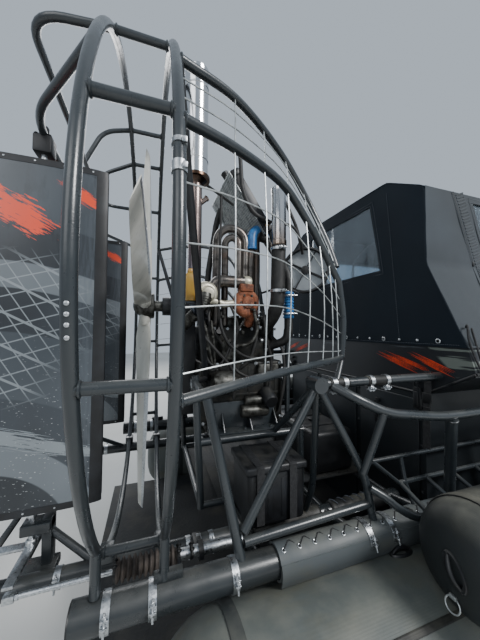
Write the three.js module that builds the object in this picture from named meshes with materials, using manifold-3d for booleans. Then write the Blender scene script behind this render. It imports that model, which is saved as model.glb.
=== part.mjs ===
// Amphibious airboat: two inflatable side tubes, a soft-topped cabin, and a pusher
// propeller in a round cage with twin air rudders behind it.
// Units are millimetres. +X points to the bow, +Y to port, +Z up. X is counted from the
// fore hoop of the propeller cage, and the last lines move the whole craft so that its
// origin is on the ground under the middle of its length.
import * as THREE from 'three';
import { mergeVertices } from 'three/addons/utils/BufferGeometryUtils.js';
import Module from 'manifold-3d';

const wasm = await Module();
wasm.setup();

// Driving dimensions
const GAP = 0.3;
const PAST = 9;
const MIDDLE_X = 2522.25;
const WIDEST = 1000;

const HOOP_R = 1050;
const HOOP_Z = 1600;
const HOOP_TUBE = 14;
const HOOP_FORE_X = 0;
const HOOP_AFT_X = -183;
const STRUT_ANGLES = [18, 50, 70, 84, 130, 162, 194, 230, 310, 346];

const PROP_X = -83;
const PROP_Z = 1585;
const PROP_R = 1000;
const BLADES = 4;
const REST_TURN = -10;
const SHAFT_R = 30;

const RUDDER_Y = 440;
const RUDDER_PIVOT_X = -430;
const RUDDER_NOSE_X = -215;
const RUDDER_TAIL_X = -865;
const RUDDER_LOW = 820;
const RUDDER_HIGH = 2060;
const RUDDER_SHAFT_R = 10;
const BEARING_R = 10.5;
const ARM_Z = 700;
const ARM_LENGTH = 120;
const PIN_R = 8;

const RAIL_Y = 730;
const RAIL_Z = 676;
const RAIL_R = 45;
const RAIL_AFT = -265;
const RAIL_FORE = 3900;
const RAIL_PLATE = { x0: -60, x1: 210, half: 34, low: 38, high: 50 };
const SLEEVE = 9;
const SLEEVE_AFT = 360;
const SLEEVE_FORE = 3880;
const BED_Y = 500;
const BED_Z = 620;
const BED_R = 30;
const BED_AFT = -520;
const BED_FORE = 1150;
const CROSS_X = [330, 720, 1110];
const CROSS_R = 20;
const CROSS_RISE = 668;

const TUBE_Y = 860;
const TUBE_Z = 380;
const TUBE_R = 260;
const TUBE_AFT = 200;
const TUBE_TAIL = -60;
const TUBE_BEND = 3900;
const BOW_X = 5650;
const BOW_Z = 560;
const UPPER_Y = 1020;
const UPPER_Z = 773;
const UPPER_R = 168;
const UPPER_AFT = 780;
const BOTTOM_Z = 150;
const DECK_Z = 320;

const NODE_X = 550;
const NODE_Y = 700;
const NODE_Z = 1250;
const TOP_TUBE_R = 18;

const CABIN_AFT = 1200;
const TUB_HALF = 630;
const TUB_TOP = 1150;
const TUB_WALL = 12;
const GUNWALE_HALF = 842;
const GUNWALE_Z = 1265;
const SILL_HALF = 812;
const SILL_Z = 1400;
const COAMING_FORE = 3980;
const ROOF_Z = 2290;
const EAVES_Z = 2160;
const WALL = 8;
const SCREEN_FOOT = 3960;
const SCREEN_HEAD = 3300;

const STEER_Y = -590;
const STEER_Z = 665;
const STEER_ROD_R = 8;
const WHEEL = { x: 3400, y: -340, z: 1160, tilt: 25, radius: 185, rim: 13, hub: 16 };

// Colours
const PAINT = { color: 0x24282b, roughness: 0.45, metalness: 0.6 };
const BLACK = { color: 0x141517, roughness: 0.55, metalness: 0.1 };
const ZINC = { color: 0xb9bdc0, roughness: 0.35, metalness: 0.9 };
const CHROME = { color: 0xc4c6c8, roughness: 0.15, metalness: 1 };
const CAST = { color: 0x3b3a38, roughness: 0.6, metalness: 0.5 };
const HEADER = { color: 0x2c2a29, roughness: 0.5, metalness: 0.7 };
const BLADE_GREY = { color: 0xdad9d2, roughness: 0.4, metalness: 0 };
const PVC = { color: 0x6f7573, roughness: 0.6, metalness: 0 };
const PVC_DARK = { color: 0x33383a, roughness: 0.6, metalness: 0 };
const TENT = { color: 0x20242c, roughness: 0.9, metalness: 0 };
const CLEAR = { color: 0x9fb4c2, roughness: 0.1, metalness: 0 };
const RUBBER = { color: 0x4a3a33, roughness: 0.85, metalness: 0 };
const SLATE = { color: 0x2b3138, roughness: 0.5, metalness: 0.1 };
const COVER = { color: 0x26282b, roughness: 0.8, metalness: 0 };

const SIDES = [
  { side: 'starboard', sign: -1 },
  { side: 'port', sign: 1 },
];

// Turns a closed three.js geometry into a solid that can be joined and cut.
function solid(geometry) {
  const bare = geometry.clone();
  for (const name of Object.keys(bare.attributes)) {
    if (name !== 'position') bare.deleteAttribute(name);
  }
  const merged = mergeVertices(bare, 1e-4);
  const vertProperties = Float32Array.from(merged.attributes.position.array);
  const triVerts = Uint32Array.from(merged.index.array);
  return new wasm.Manifold(new wasm.Mesh({ numProp: 3, vertProperties, triVerts }));
}

function asSolid(item) {
  return item.getMesh ? item : solid(item);
}

function fuse(list) {
  return list.map(asSolid).reduce((whole, item) => whole.add(item));
}

function cut(base, tools) {
  return tools.map(asSolid).reduce((whole, item) => whole.subtract(item), asSolid(base));
}

function geometryOf(body) {
  const mesh = body.getMesh();
  const stride = mesh.numProp;
  const count = mesh.vertProperties.length / stride;
  const points = new Float32Array(count * 3);
  for (let i = 0; i < count; i += 1) {
    points.set(mesh.vertProperties.subarray(stride * i, stride * i + 3), 3 * i);
  }
  const geometry = new THREE.BufferGeometry();
  geometry.setAttribute('position', new THREE.BufferAttribute(points, 3));
  geometry.setIndex(new THREE.BufferAttribute(Uint32Array.from(mesh.triVerts), 1));
  return geometry;
}

const craft = new THREE.Group();

function place(name, body, finish, parent = craft) {
  const geometry = body.getMesh ? geometryOf(body) : body;
  geometry.computeVertexNormals();
  const mesh = new THREE.Mesh(geometry, new THREE.MeshStandardMaterial(finish));
  mesh.name = name;
  parent.add(mesh);
  return mesh;
}

function radians(degrees) {
  return THREE.MathUtils.degToRad(degrees);
}

function vector(point) {
  return new THREE.Vector3(...point);
}

// A path whose sections stand exactly at the given points.
class Route extends THREE.Curve {
  constructor(points) {
    super();
    this.list = points.map(vector);
  }

  getPointAt(u, target = new THREE.Vector3()) {
    const last = this.list.length - 1;
    const index = Math.min(Math.floor(u * last + 1e-6), last - 1);
    return target.lerpVectors(this.list[index], this.list[index + 1], u * last - index);
  }

  getPoint(t, target) {
    return this.getPointAt(t, target);
  }

  getTangentAt(u, target = new THREE.Vector3()) {
    const last = this.list.length - 1;
    const index = Math.round(u * last);
    const before = this.list[Math.max(index - 1, 0)];
    const after = this.list[Math.min(index + 1, last)];
    const here = this.list[index];
    const into = index > 0 ? here.clone().sub(before).normalize() : new THREE.Vector3();
    const out = index < last ? after.clone().sub(here).normalize() : new THREE.Vector3();
    return target.copy(into.add(out).normalize());
  }

  getTangent(t, target) {
    return this.getTangentAt(t, target);
  }
}

function disc(radius, sides) {
  const corners = [];
  for (let i = 0; i < sides; i += 1) {
    const angle = ((i + 0.5) / sides) * 2 * Math.PI;
    corners.push(new THREE.Vector2(radius * Math.cos(angle), radius * Math.sin(angle)));
  }
  return new THREE.Shape(corners);
}

function rod(points, radius, sides = 10) {
  const options = { steps: points.length - 1, extrudePath: new Route(points), curveSegments: 1 };
  return new THREE.ExtrudeGeometry(disc(radius, sides), options);
}

// Rounds the corners of a polyline, as a tube bender does.
function bent(points, radius, steps = 4) {
  const list = points.map(vector);
  const out = [points[0]];
  for (let i = 1; i < list.length - 1; i += 1) {
    const back = list[i - 1].clone().sub(list[i]);
    const ahead = list[i + 1].clone().sub(list[i]);
    const reach = Math.min(radius, back.length() * 0.45, ahead.length() * 0.45);
    const start = list[i].clone().addScaledVector(back.normalize(), reach);
    const end = list[i].clone().addScaledVector(ahead.normalize(), reach);
    const curve = new THREE.QuadraticBezierCurve3(start, list[i], end);
    for (const p of curve.getPoints(steps)) out.push(p.toArray());
  }
  out.push(points[points.length - 1]);
  return out;
}

// A smooth line through the points, with the given number of stretches.
function smooth(points, steps) {
  return new THREE.CatmullRomCurve3(points.map(vector)).getSpacedPoints(steps).map((p) => p.toArray());
}

function alongCurve(points, t) {
  return new THREE.CatmullRomCurve3(points.map(vector)).getPointAt(t).toArray();
}

function between(a, b, t) {
  return vector(a).lerp(vector(b), t).toArray();
}

function box(x0, x1, y0, y1, z0, z1) {
  const geometry = new THREE.BoxGeometry(x1 - x0, y1 - y0, z1 - z0);
  geometry.translate((x0 + x1) / 2, (y0 + y1) / 2, (z0 + z1) / 2);
  return geometry;
}

// The same box on the starboard or the port side; y is counted from the centreline.
function sideBox(sign, x0, x1, y0, y1, z0, z1) {
  return box(x0, x1, Math.min(sign * y0, sign * y1), Math.max(sign * y0, sign * y1), z0, z1);
}

function extruded(outline, depth) {
  const shape = new THREE.Shape(outline.map(([x, y]) => new THREE.Vector2(x, y)));
  return new THREE.ExtrudeGeometry(shape, { depth, bevelEnabled: false });
}

// A plate with its outline in X and Y, standing from z0 to z1.
function slabXY(outline, z0, z1) {
  return extruded(outline, z1 - z0).translate(0, 0, z0);
}

// A plate with its outline in Y and Z, standing from x0 to x1.
function slabYZ(outline, x0, x1) {
  const turn = new THREE.Matrix4();
  turn.makeBasis(new THREE.Vector3(0, 1, 0), new THREE.Vector3(0, 0, 1), new THREE.Vector3(1, 0, 0));
  return extruded(outline, x1 - x0).applyMatrix4(turn).translate(x0, 0, 0);
}

// A plate with its outline in X and Z, standing from y0 to y1.
function slabXZ(outline, y0, y1) {
  const flipped = outline.map(([x, z]) => [x, -z]);
  return extruded(flipped, y1 - y0).rotateX(-Math.PI / 2).translate(0, y0, 0);
}

// A turned body: each profile point is a radius and a place along an axis through the centre.
function turned(profile, sides, axis, centre) {
  const points = profile.map(([radius, along]) => new THREE.Vector2(radius, along));
  const geometry = new THREE.LatheGeometry(points, sides);
  if (axis === 'x') geometry.rotateZ(-Math.PI / 2);
  if (axis === 'z') geometry.rotateX(Math.PI / 2);
  return geometry.translate(...centre);
}

// A plain round bar between two places along an axis.
function pin(radius, low, high, sides, axis, centre) {
  return turned([[0, low], [radius, low], [radius, high], [0, high]], sides, axis, centre);
}

function hoop(x, tube) {
  return new THREE.TorusGeometry(HOOP_R, tube, 6, 40).rotateY(Math.PI / 2).translate(x, 0, HOOP_Z);
}

// Joins rings of points, each with the same number of sides, into one closed skin.
function loft(rings) {
  const sides = rings[0].length;
  const last = (rings.length - 1) * sides;
  const index = [];
  for (let start = 0; start < last; start += sides) {
    for (let i = 0; i < sides; i += 1) {
      const a = start + i;
      const b = start + ((i + 1) % sides);
      index.push(a, b, a + sides, b, b + sides, a + sides);
    }
  }
  for (let i = 1; i < sides - 1; i += 1) {
    index.push(0, i + 1, i);
    index.push(last, last + i, last + i + 1);
  }
  const geometry = new THREE.BufferGeometry();
  geometry.setAttribute('position', new THREE.Float32BufferAttribute(rings.flat(2), 3));
  geometry.setIndex(index);
  return geometry;
}

function mirrored(points) {
  return points.map(([x, y, z]) => [x, -y, z]);
}

// Points given for the starboard side, where y is negative, on the side of the sign.
function onSide(sign, points) {
  return sign < 0 ? points : mirrored(points);
}

// Axes of the rails and tubes that others stand on, longer at both ends where wanted
function railLine(sign, past = 0) {
  return [[RAIL_AFT - past, sign * RAIL_Y, RAIL_Z], [RAIL_FORE + past, sign * RAIL_Y, RAIL_Z]];
}

function bedLine(sign, past = 0) {
  return [[BED_AFT - past, sign * BED_Y, BED_Z], [BED_FORE + past, sign * BED_Y, BED_Z]];
}

function crossTube(x, radius) {
  const outer = RAIL_Y - 15;
  const line = [[x, -outer, CROSS_RISE], [x, -BED_Y, BED_Z], [x, BED_Y, BED_Z], [x, outer, CROSS_RISE]];
  return rod(line, radius, 6);
}

function topTube(sign, radius) {
  const y = sign * NODE_Y;
  return rod([[NODE_X, y, NODE_Z], [CABIN_AFT - GAP, y, NODE_Z]], radius, 8);
}

function hullLine(sign) {
  const y = sign * TUBE_Y;
  const curve = new THREE.CubicBezierCurve3(
    vector([TUBE_BEND, y, TUBE_Z]),
    vector([TUBE_BEND + 1050, y, TUBE_Z]),
    vector([BOW_X, y * 0.82, BOW_Z]),
    vector([BOW_X, 0, BOW_Z]),
  );
  const bow = curve.getSpacedPoints(9).map((p) => p.toArray());
  return [[TUBE_AFT, y, TUBE_Z], ...bow, [BOW_X, -60 * sign, BOW_Z]];
}

const RAIL_CUTTERS = SIDES.map(({ sign }) => rod(railLine(sign, PAST), RAIL_R + GAP, 16));
const SLEEVE_CUTTERS = SIDES.map(({ sign }) => rod(railLine(sign, PAST), RAIL_R + SLEEVE + GAP, 16));
const BED_CUTTERS = SIDES.map(({ sign }) => rod(bedLine(sign, PAST), BED_R + GAP, 10));
const HULL_CUTTERS = SIDES.map(({ sign }) => rod(hullLine(sign), TUBE_R + GAP, 20));

// Inflatable hull: side tubes with tail cones, their halves meeting at the bow
const TAIL_CONE = [
  [0, 0], [85, 8], [155, 38], [212, 90], [244, 160], [TUBE_R - 4, 240], [TUBE_R - 4, 280], [0, 280],
];
const UPPER_CAP = [[0, 0], [88, 12], [140, 40], [UPPER_R - 3, 95], [UPPER_R - 3, 140], [0, 140]];
const UPPER_BOW = [[4250, -1005, 800], [4700, -900, 850], [5100, -690, 905], [5330, -560, 930]];

function makeHullTubes() {
  for (const { side, sign } of SIDES) {
    const cone = turned(TAIL_CONE, 20, 'x', [TUBE_TAIL, sign * TUBE_Y, TUBE_Z]);
    const otherHalf = sideBox(sign, 4000, 7000, -600, 0.4, 0, 1600);
    place(`hull_tube_${side}`, cut(fuse([rod(hullLine(sign), TUBE_R, 20), cone]), [otherHalf]), PVC);
    const upper = [[UPPER_AFT + 90, sign * UPPER_Y, UPPER_Z], [TUBE_BEND, sign * UPPER_Y, UPPER_Z]];
    upper.push(...smooth(onSide(sign, UPPER_BOW), 5));
    const cap = turned(UPPER_CAP, 16, 'x', [UPPER_AFT, sign * UPPER_Y, UPPER_Z]);
    place(`upper_tube_${side}`, fuse([rod(upper, UPPER_R, 16), cap]), PVC_DARK);
  }
}

// Flat inflatable bottom with three wear runners under it, and the floor on top
const BOTTOM_SHAPE = [[-300, -560], [4000, -560], [4800, -430], [5200, -200]];
const DECK_SHAPE = [[-280, -580], [4000, -580], [4700, -440], [5050, -250]];
const RUNNER_Y = [-400, 0, 400];

// An outline in X and Y from its starboard half, which runs from aft to the bow.
function bothHalves(half) {
  return [...half, ...half.map(([x, y]) => [x, -y]).reverse()];
}

function makeBottom() {
  const runners = RUNNER_Y.map((y) => box(-200, 4000, y - 60, y + 60, 0, 40));
  place('hull_bottom', fuse([slabXY(bothHalves(BOTTOM_SHAPE), 30, BOTTOM_Z), ...runners]), BLACK);
  const tails = SIDES.map(({ sign }) => {
    const y = sign * TUBE_Y;
    return rod([[-400, y, TUBE_Z], [TUBE_AFT, y, TUBE_Z]], TUBE_R + GAP, 24);
  });
  const deck = slabXY(bothHalves(DECK_SHAPE), BOTTOM_Z + GAP, DECK_Z);
  place('floor_deck', cut(deck, [...HULL_CUTTERS, ...tails]), SLATE);
}

// Outer rails lie on the side tubes in laced sleeves
const SLEEVE_SKIRT = [
  [-700, RAIL_Z - 20], [-780, RAIL_Z - 6], [-802, RAIL_Z - 34],
  [-802, RAIL_Z - 60], [-640, RAIL_Z - 120], [-660, RAIL_Z - 40],
];

function makeOuterRails() {
  const crossings = CROSS_X.map((x) => crossTube(x, CROSS_R + 4));
  SIDES.forEach(({ side, sign }, i) => {
    const y = sign * RAIL_Y;
    const { x0, x1, half, low, high } = RAIL_PLATE;
    const plate = box(x0, x1, y - half, y + half, RAIL_Z + low, RAIL_Z + high);
    place(`rail_outer_${side}`, fuse([rod(railLine(sign), RAIL_R, 16), plate]), PAINT);
    const wrap = rod([[SLEEVE_AFT, y, RAIL_Z], [SLEEVE_FORE, y, RAIL_Z]], RAIL_R + SLEEVE, 16);
    const skirt = slabYZ(SLEEVE_SKIRT.map(([v, z]) => [-sign * v, z]), SLEEVE_AFT, SLEEVE_FORE);
    const tools = [...HULL_CUTTERS, RAIL_CUTTERS[i], ...crossings];
    place(`rail_sleeve_${side}`, cut(fuse([wrap, skirt]), tools), PVC_DARK);
  });
}

// Engine bed: inner rails, cross tubes and the rudder posts with their lower bearings
function makeEngineBed() {
  const parts = [rod([[-470, -BED_Y, BED_Z], [-470, BED_Y, BED_Z]], 20, 8)];
  parts.push(...CROSS_X.map((x) => crossTube(x, CROSS_R)));
  const bores = [];
  for (const { sign } of SIDES) {
    parts.push(rod(bedLine(sign), BED_R, 10));
    parts.push(sideBox(sign, -398, -368, 400, 452, 605, 790));
    parts.push(sideBox(sign, -458, -368, 410, 470, 750, 790));
    parts.push(sideBox(sign, -485, -350, 400, 490, 605, 635));
    parts.push(rod([[-200, sign * BED_Y, BED_Z], [-380, sign * 425, 740]], 13, 6));
    bores.push(pin(BEARING_R, 700, 830, 16, 'z', [RUDDER_PIVOT_X, sign * RUDDER_Y, 0]));
  }
  place('engine_bed', cut(fuse(parts), [...RAIL_CUTTERS, ...bores]), PAINT);
}

// Propeller cage: two hoops with struts between them, each standing on the rails
const HOOPS = [
  { name: 'cage_hoop_fore', x: HOOP_FORE_X, struts: [] },
  { name: 'cage_hoop_aft', x: HOOP_AFT_X, struts: STRUT_ANGLES },
];

function makeHoops() {
  const { x0, x1, half, high } = RAIL_PLATE;
  const plates = SIDES.map(({ sign }) => sideBox(
    sign,
    x0 - 10,
    x1 + 10,
    RAIL_Y - half - 2,
    RAIL_Y + half + 2,
    RAIL_Z + 36,
    RAIL_Z + high + GAP,
  ));
  for (const { name, x, struts } of HOOPS) {
    const parts = [hoop(x, HOOP_TUBE)];
    for (const degrees of struts) {
      const y = HOOP_R * Math.cos(radians(degrees));
      const z = HOOP_Z + HOOP_R * Math.sin(radians(degrees));
      parts.push(rod([[x, y, z], [HOOP_FORE_X - 8, y, z]], HOOP_TUBE - 1, 6));
    }
    for (const { sign } of SIDES) {
      parts.push(rod([[x, sign * RAIL_Y, 700], [x, sign * RAIL_Y, 850]], HOOP_TUBE, 6));
      parts.push(sideBox(sign, x - 24, x + 24, 480, 540, 634, 690));
    }
    const tools = [...RAIL_CUTTERS, ...plates, ...BED_CUTTERS];
    if (struts.length > 0) tools.push(hoop(HOOP_FORE_X, HOOP_TUBE + GAP));
    place(name, cut(fuse(parts), tools), PAINT);
  }
}

// Tubes behind the cage: the top loop, and the bow that carries the rudders' upper bearings
function makeCageTop() {
  const x = RUDDER_PIVOT_X;
  const hoopX = HOOP_AFT_X - 6;
  const loop = [[HOOP_AFT_X - 8, -675, 2404], [x + 10, -650, 2400]];
  const bow = [[hoopX, -877, 2160], [x, -540, 2160]];
  const arm = [[x + 10, 100, 2400], [x + 100, 105, 2600], [hoopX, 110, 2644]];
  const post = [[x, RUDDER_Y, 2180], [x, RUDDER_Y, 2500], [hoopX, 361, 2586]];
  const parts = [
    rod(bent([...loop, ...mirrored(loop).reverse()], 110, 3), 13, 6),
    rod(bent(arm, 90, 3), 13, 6),
    rod(bent([...bow, ...mirrored(bow).reverse()], 110, 3), 13, 6),
    rod(bent(post, 130, 3), 13, 6),
  ];
  const bores = [];
  for (const { sign } of SIDES) {
    const y = sign * RUDDER_Y;
    const cap = [[0, 2150], [14, 2150], [14, 2186], [9, 2194], [0, 2194]];
    parts.push(box(x - 30, x + 30, y - 28, y + 28, 2085, 2155));
    parts.push(turned(cap, 12, 'z', [x, y, 0]));
    bores.push(pin(BEARING_R, 2060, 2130, 16, 'z', [x, y, 0]));
  }
  place('cage_top_tubes', cut(fuse(parts), [hoop(HOOP_AFT_X, HOOP_TUBE + GAP), ...bores]), PAINT);
}

// Guard baskets between the cage and the engine, with their wire grids
const BASKET = {
  low: [[0, -1008, 1306], [180, -930, 1322], [420, -800, 1332], [640, -690, 1338], [700, -655, 1345]],
  mid: [
    [0, -1003, 1910], [170, -905, 1935], [350, -800, 1935],
    [480, -730, 1870], [600, -675, 1770], [690, -655, 1650],
  ],
  high: [
    [0, -888, 2160], [200, -790, 2180], [420, -650, 2150],
    [590, -570, 2030], [672, -600, 1840], [688, -640, 1720],
  ],
  nose: [[690, -655, 1650], [712, -655, 1500], [700, -655, 1345]],
  hanger: [[700, -655, 1338], [640, -NODE_Y, 1262]],
};
const WIRE_R = 2.4;

// A wire between two of the basket's tubes, at the share of the way from one to the other.
function levelWire(below, above, share, reach, steps) {
  const line = [];
  for (let i = 0; i <= steps; i += 1) {
    const t = (reach * i) / steps;
    line.push(between(alongCurve(below, t), alongCurve(above, t), share));
  }
  return line;
}

function makeBaskets() {
  const { low, mid, high, nose, hanger } = BASKET;
  const tubes = [
    { line: smooth(low, 5), radius: 13 },
    { line: smooth(mid, 7), radius: 14 },
    { line: smooth(high, 6), radius: 13 },
    { line: bent(nose, 60, 2), radius: 13 },
    { line: hanger, radius: 11 },
  ];
  const wires = [
    ...[0.3, 0.5, 0.68, 0.84, 0.94].map((t) => [alongCurve(low, t), alongCurve(mid, t)]),
    ...[0.08, 0.36, 0.68].map((share) => levelWire(low, mid, share, 0.995, 6)),
    ...[0.2, 0.42, 0.62].map((t) => [alongCurve(mid, t), alongCurve(high, t)]),
    levelWire(mid, high, 0.5, 0.85, 5),
  ];
  for (const { side, sign } of SIDES) {
    const list = tubes.map(({ line, radius }) => rod(onSide(sign, line), radius, 6));
    list.push(...wires.map((line) => rod(onSide(sign, line), WIRE_R, 3)));
    const tools = [hoop(HOOP_FORE_X, HOOP_TUBE + GAP), topTube(sign, TOP_TUBE_R + GAP)];
    place(`guard_basket_${side}`, cut(fuse(list), tools), PAINT);
  }
}

// Engine frame: a truss on each side, cross members, and the tubes that run on to the cabin
const BRACE = [[NODE_X, -NODE_Y, NODE_Z], [740, -RAIL_Y, 900], [780, -RAIL_Y, 700]];
const BRACE_R = 16;
const SIDE_TRUSS = [
  { line: [[250, -RAIL_Y, 765], [770, -RAIL_Y, 790]], radius: 15, sides: 6 },
  { line: [[240, -RAIL_Y, 700], [140, -640, 1220]], radius: 17, sides: 8 },
  { line: [[NODE_X, -NODE_Y, NODE_Z], [250, -RAIL_Y, 800]], radius: 15, sides: 6 },
  { line: BRACE, radius: BRACE_R, sides: 6 },
  { line: [[NODE_X, -NODE_Y, NODE_Z], [620, -560, 780], [620, -BED_Y, 640]], radius: 14, sides: 6 },
  { line: [[140, -640, 1210], [150, -300, 1210]], radius: 15, sides: 6 },
  { line: [[NODE_X, -NODE_Y, NODE_Z], [560, -300, 930]], radius: 15, sides: 6 },
  { line: [[150, -320, 1240], [180, -330, 640]], radius: 17, sides: 8 },
  { line: [[700, -330, 940], [700, -330, 640]], radius: 17, sides: 8 },
  { line: [[150, -320, 930], [720, -320, 930]], radius: 18, sides: 8 },
  { line: [[180, -330, 650], [700, -330, 650]], radius: 14, sides: 6 },
];
const CROSS_MEMBERS = [
  { line: [[700, -330, 930], [700, 330, 930]], radius: 15 },
  { line: [[180, -330, 650], [180, 330, 650]], radius: 14 },
];

function engineFoot(sign, grow) {
  return [
    sideBox(sign, 230 - grow, 600 + grow, 215.3 - grow, 300 + grow, 925 - grow, 948 + grow),
    sideBox(sign, 230 - grow, 600 + grow, 215.3 - grow, 226 + grow, 948 - grow, 1080 + grow),
  ];
}

function makeEngineFrame() {
  const parts = CROSS_MEMBERS.map(({ line, radius }) => rod(line, radius, 6));
  const tools = [...SLEEVE_CUTTERS, ...BED_CUTTERS, ...CROSS_X.map((x) => crossTube(x, CROSS_R + GAP))];
  for (const { side, sign } of SIDES) {
    parts.push(...SIDE_TRUSS.map(({ line, radius, sides }) => rod(onSide(sign, line), radius, sides)));
    parts.push(topTube(sign, TOP_TUBE_R));
    tools.push(...engineFoot(sign, GAP));
    place(`engine_foot_${side}`, fuse(engineFoot(sign, 0)), PAINT);
  }
  place('engine_frame', cut(fuse(parts), tools), PAINT);
}

// Engine, one plain block at its real place, with its drive housing and pipes
const ENGINE = [
  { x0: 180, x1: 660, half: 215, z0: 960, z1: 1290 },
  { x0: 200, x1: 640, half: 150, z0: 1280, z1: 1480 },
  { x0: 215, x1: 625, half: 105, z0: 1470, z1: 1540 },
  { x0: 230, x1: 600, half: 170, z0: 900, z1: 970 },
];
const HOUSING = [[-150, 1010], [150, 1010], [120, 1600], [60, 1700], [-60, 1700], [-120, 1600]];
const STACK = { x: 128, y: -400, low: 2132, high: 2620, radius: 54, pipe: 25 };
const MUFFLER = { x: 590, y: -300, low: 1900, high: 2220, radius: 40, pipe: 30 };
const HEADERS = [
  { x: 270, out: 40, top: 1960 },
  { x: 350, out: 60, top: 1985 },
  { x: 440, out: 50, top: 1950 },
];
const COLLECTOR = { x0: 250, x1: 520, y: -190, z: 1610, radius: 40 };

function engineBoxes(grow) {
  return ENGINE.map(({ x0, x1, half, z0, z1 }) => (
    box(x0 - grow, x1 + grow, -half - grow, half + grow, z0 - grow, z1 + grow)
  ));
}

function makeEngine() {
  place('engine_block', fuse(engineBoxes(0)), CAST);
  const centre = [0, 0, PROP_Z];
  const housing = fuse([slabYZ(HOUSING, 62, 180 - GAP), pin(52, 8, 70, 16, 'x', centre)]);
  place('drive_housing', cut(housing, [pin(SHAFT_R + 0.6, 0, 20, 20, 'x', centre)]), BLACK);
}

function makeExhausts() {
  const around = engineBoxes(GAP);
  {
    const { x, y, low, high, radius, pipe } = STACK;
    const line = bent([[x, y, low - 7], [x, y, 1560], [240, -130, 1500]], 90);
    const can = pin(radius, low, high, 18, 'z', [x, y, 0]);
    const flange = pin(radius + 10, low - 14, low + 2, 18, 'z', [x, y, 0]);
    place('exhaust_stack', cut(fuse([can, flange, rod(line, pipe, 10)]), around), CHROME);
  }
  {
    const { x, y, low, high, radius, pipe } = MUFFLER;
    const line = bent([[x, y, low + 10], [x - 5, y, 1600], [x - 30, -140, 1470]], 80);
    const can = pin(radius, low, high, 16, 'z', [x, y, 0]);
    place('exhaust_muffler', cut(fuse([can, rod(line, pipe, 10)]), around), CHROME);
  }
  const { x0, x1, y, z, radius } = COLLECTOR;
  const pipes = HEADERS.map(({ x, out, top }) => {
    const line = [[x, -60, 1530], [x, -60, top], [x + out, y, top], [x + out, y, z - 10]];
    return rod(bent(line, 60, 3), 24, 7);
  });
  pipes.push(rod([[x0, y, z], [x1, y, z]], radius, 10));
  place('header_pipes', cut(fuse(pipes), around), HEADER);
}

// Radiator: a leaning core between two tanks, on posts from the frame's cross member
const RADIATOR = { x: 470, z: 2170, lean: -34, core: 24, tank: 32, half: 210, low: 150, high: 195 };
const POST_Y = [-190, 190];

function makeRadiator() {
  const { x, z, lean, core, tank, half, low, high } = RADIATOR;
  const panel = fuse([
    box(-core, core, -half, half, -low - 5, low + 5),
    box(-tank, tank, -half - 10, half + 10, low, high),
    box(-tank, tank, -half - 10, half + 10, -high, -low),
  ]).rotate([0, lean, 0]).translate([x, 0, z]);
  const posts = POST_Y.map((y) => rod(bent([[699, y, 932], [700, y, 1700], [588, y, 2030]], 120, 3), 14, 8));
  const [{ line, radius }] = CROSS_MEMBERS;
  place('radiator', cut(fuse([...posts, panel]), [rod(line, radius + GAP, 6)]), CAST);
}

// Fuel tank and battery box beside the engine, and the tray under them
function makeEngineBay() {
  const trayLow = BED_Z + CROSS_R + GAP;
  const trayHigh = trayLow + 12;
  place('engine_tray', box(200, 1180, -305, 305, trayLow, trayHigh), SLATE);
  place('fuel_tank', box(800, 1080, -290, 290, trayHigh + GAP, 900), BLACK);
  const battery = fuse([
    box(310, 560, -600, -395, 690, 905),
    box(300, 570, -610, -385, 890, 925),
    box(320, 550, -525, -475, 625, 700),
  ]);
  place('battery_box', cut(battery, [...BED_CUTTERS, crossTube(CROSS_X[0], CROSS_R + GAP)]), BLACK);
}

// Propeller: blades on a hub, turning on the drive shaft
const BLADE = [
  { r: 70, chord: 62, thick: 40, twist: 62 },
  { r: 170, chord: 104, thick: 30, twist: 48 },
  { r: 420, chord: 124, thick: 20, twist: 31 },
  { r: 700, chord: 104, thick: 13, twist: 21 },
  { r: 920, chord: 74, thick: 9, twist: 15 },
  { r: PROP_R, chord: 34, thick: 6, twist: 12 },
];
const BLADE_SECTION = [
  [-0.5, 0], [-0.32, 0.42], [0, 0.5], [0.3, 0.3], [0.5, 0.02], [0.3, -0.2], [-0.1, -0.3], [-0.38, -0.26],
];
const HUB = [
  [0, -62], [34, -52], [62, -30], [70, 0], [70, 44],
  [60, 50], [SHAFT_R, 50], [SHAFT_R, 102.7], [0, 102.7],
];
const BLADE_ROOT = [[0, 20], [30, 20], [30, 96], [22, 110], [0, 110]];

function bladeGeometry() {
  return loft(BLADE.map(({ r, chord, thick, twist }) => {
    const sin = Math.sin(radians(twist));
    const cos = Math.cos(radians(twist));
    return BLADE_SECTION.map(([c, t]) => {
      const along = c * chord;
      const out = t * thick;
      return [along * sin + out * cos, along * cos - out * sin, r];
    });
  }));
}

function makePropeller() {
  const propeller = new THREE.Group();
  propeller.position.set(PROP_X, 0, PROP_Z);
  propeller.rotation.x = radians(REST_TURN);
  craft.add(propeller);
  const parts = [turned(HUB, 20, 'x', [0, 0, 0])];
  for (let i = 0; i < BLADES; i += 1) {
    const turn = (i * 2 * Math.PI) / BLADES;
    parts.push(bladeGeometry().rotateX(turn));
    parts.push(turned(BLADE_ROOT, 12, 'z', [0, 0, 0]).rotateX(turn));
  }
  place('propeller', fuse(parts), BLADE_GREY, propeller);
}

// Rudders: foils on vertical shafts, with tiller arms under them joined by a tie bar
const FOIL_HALF = 30;
const FOIL = [
  { aft: 0, half: 0 },
  { aft: 8, half: 0.55 },
  { aft: 40, half: 0.9 },
  { aft: 110, half: 1 },
  { aft: 260, half: 0.86 },
  { aft: 440, half: 0.45 },
  { aft: RUDDER_NOSE_X - RUDDER_TAIL_X, half: 0.12 },
];

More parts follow.
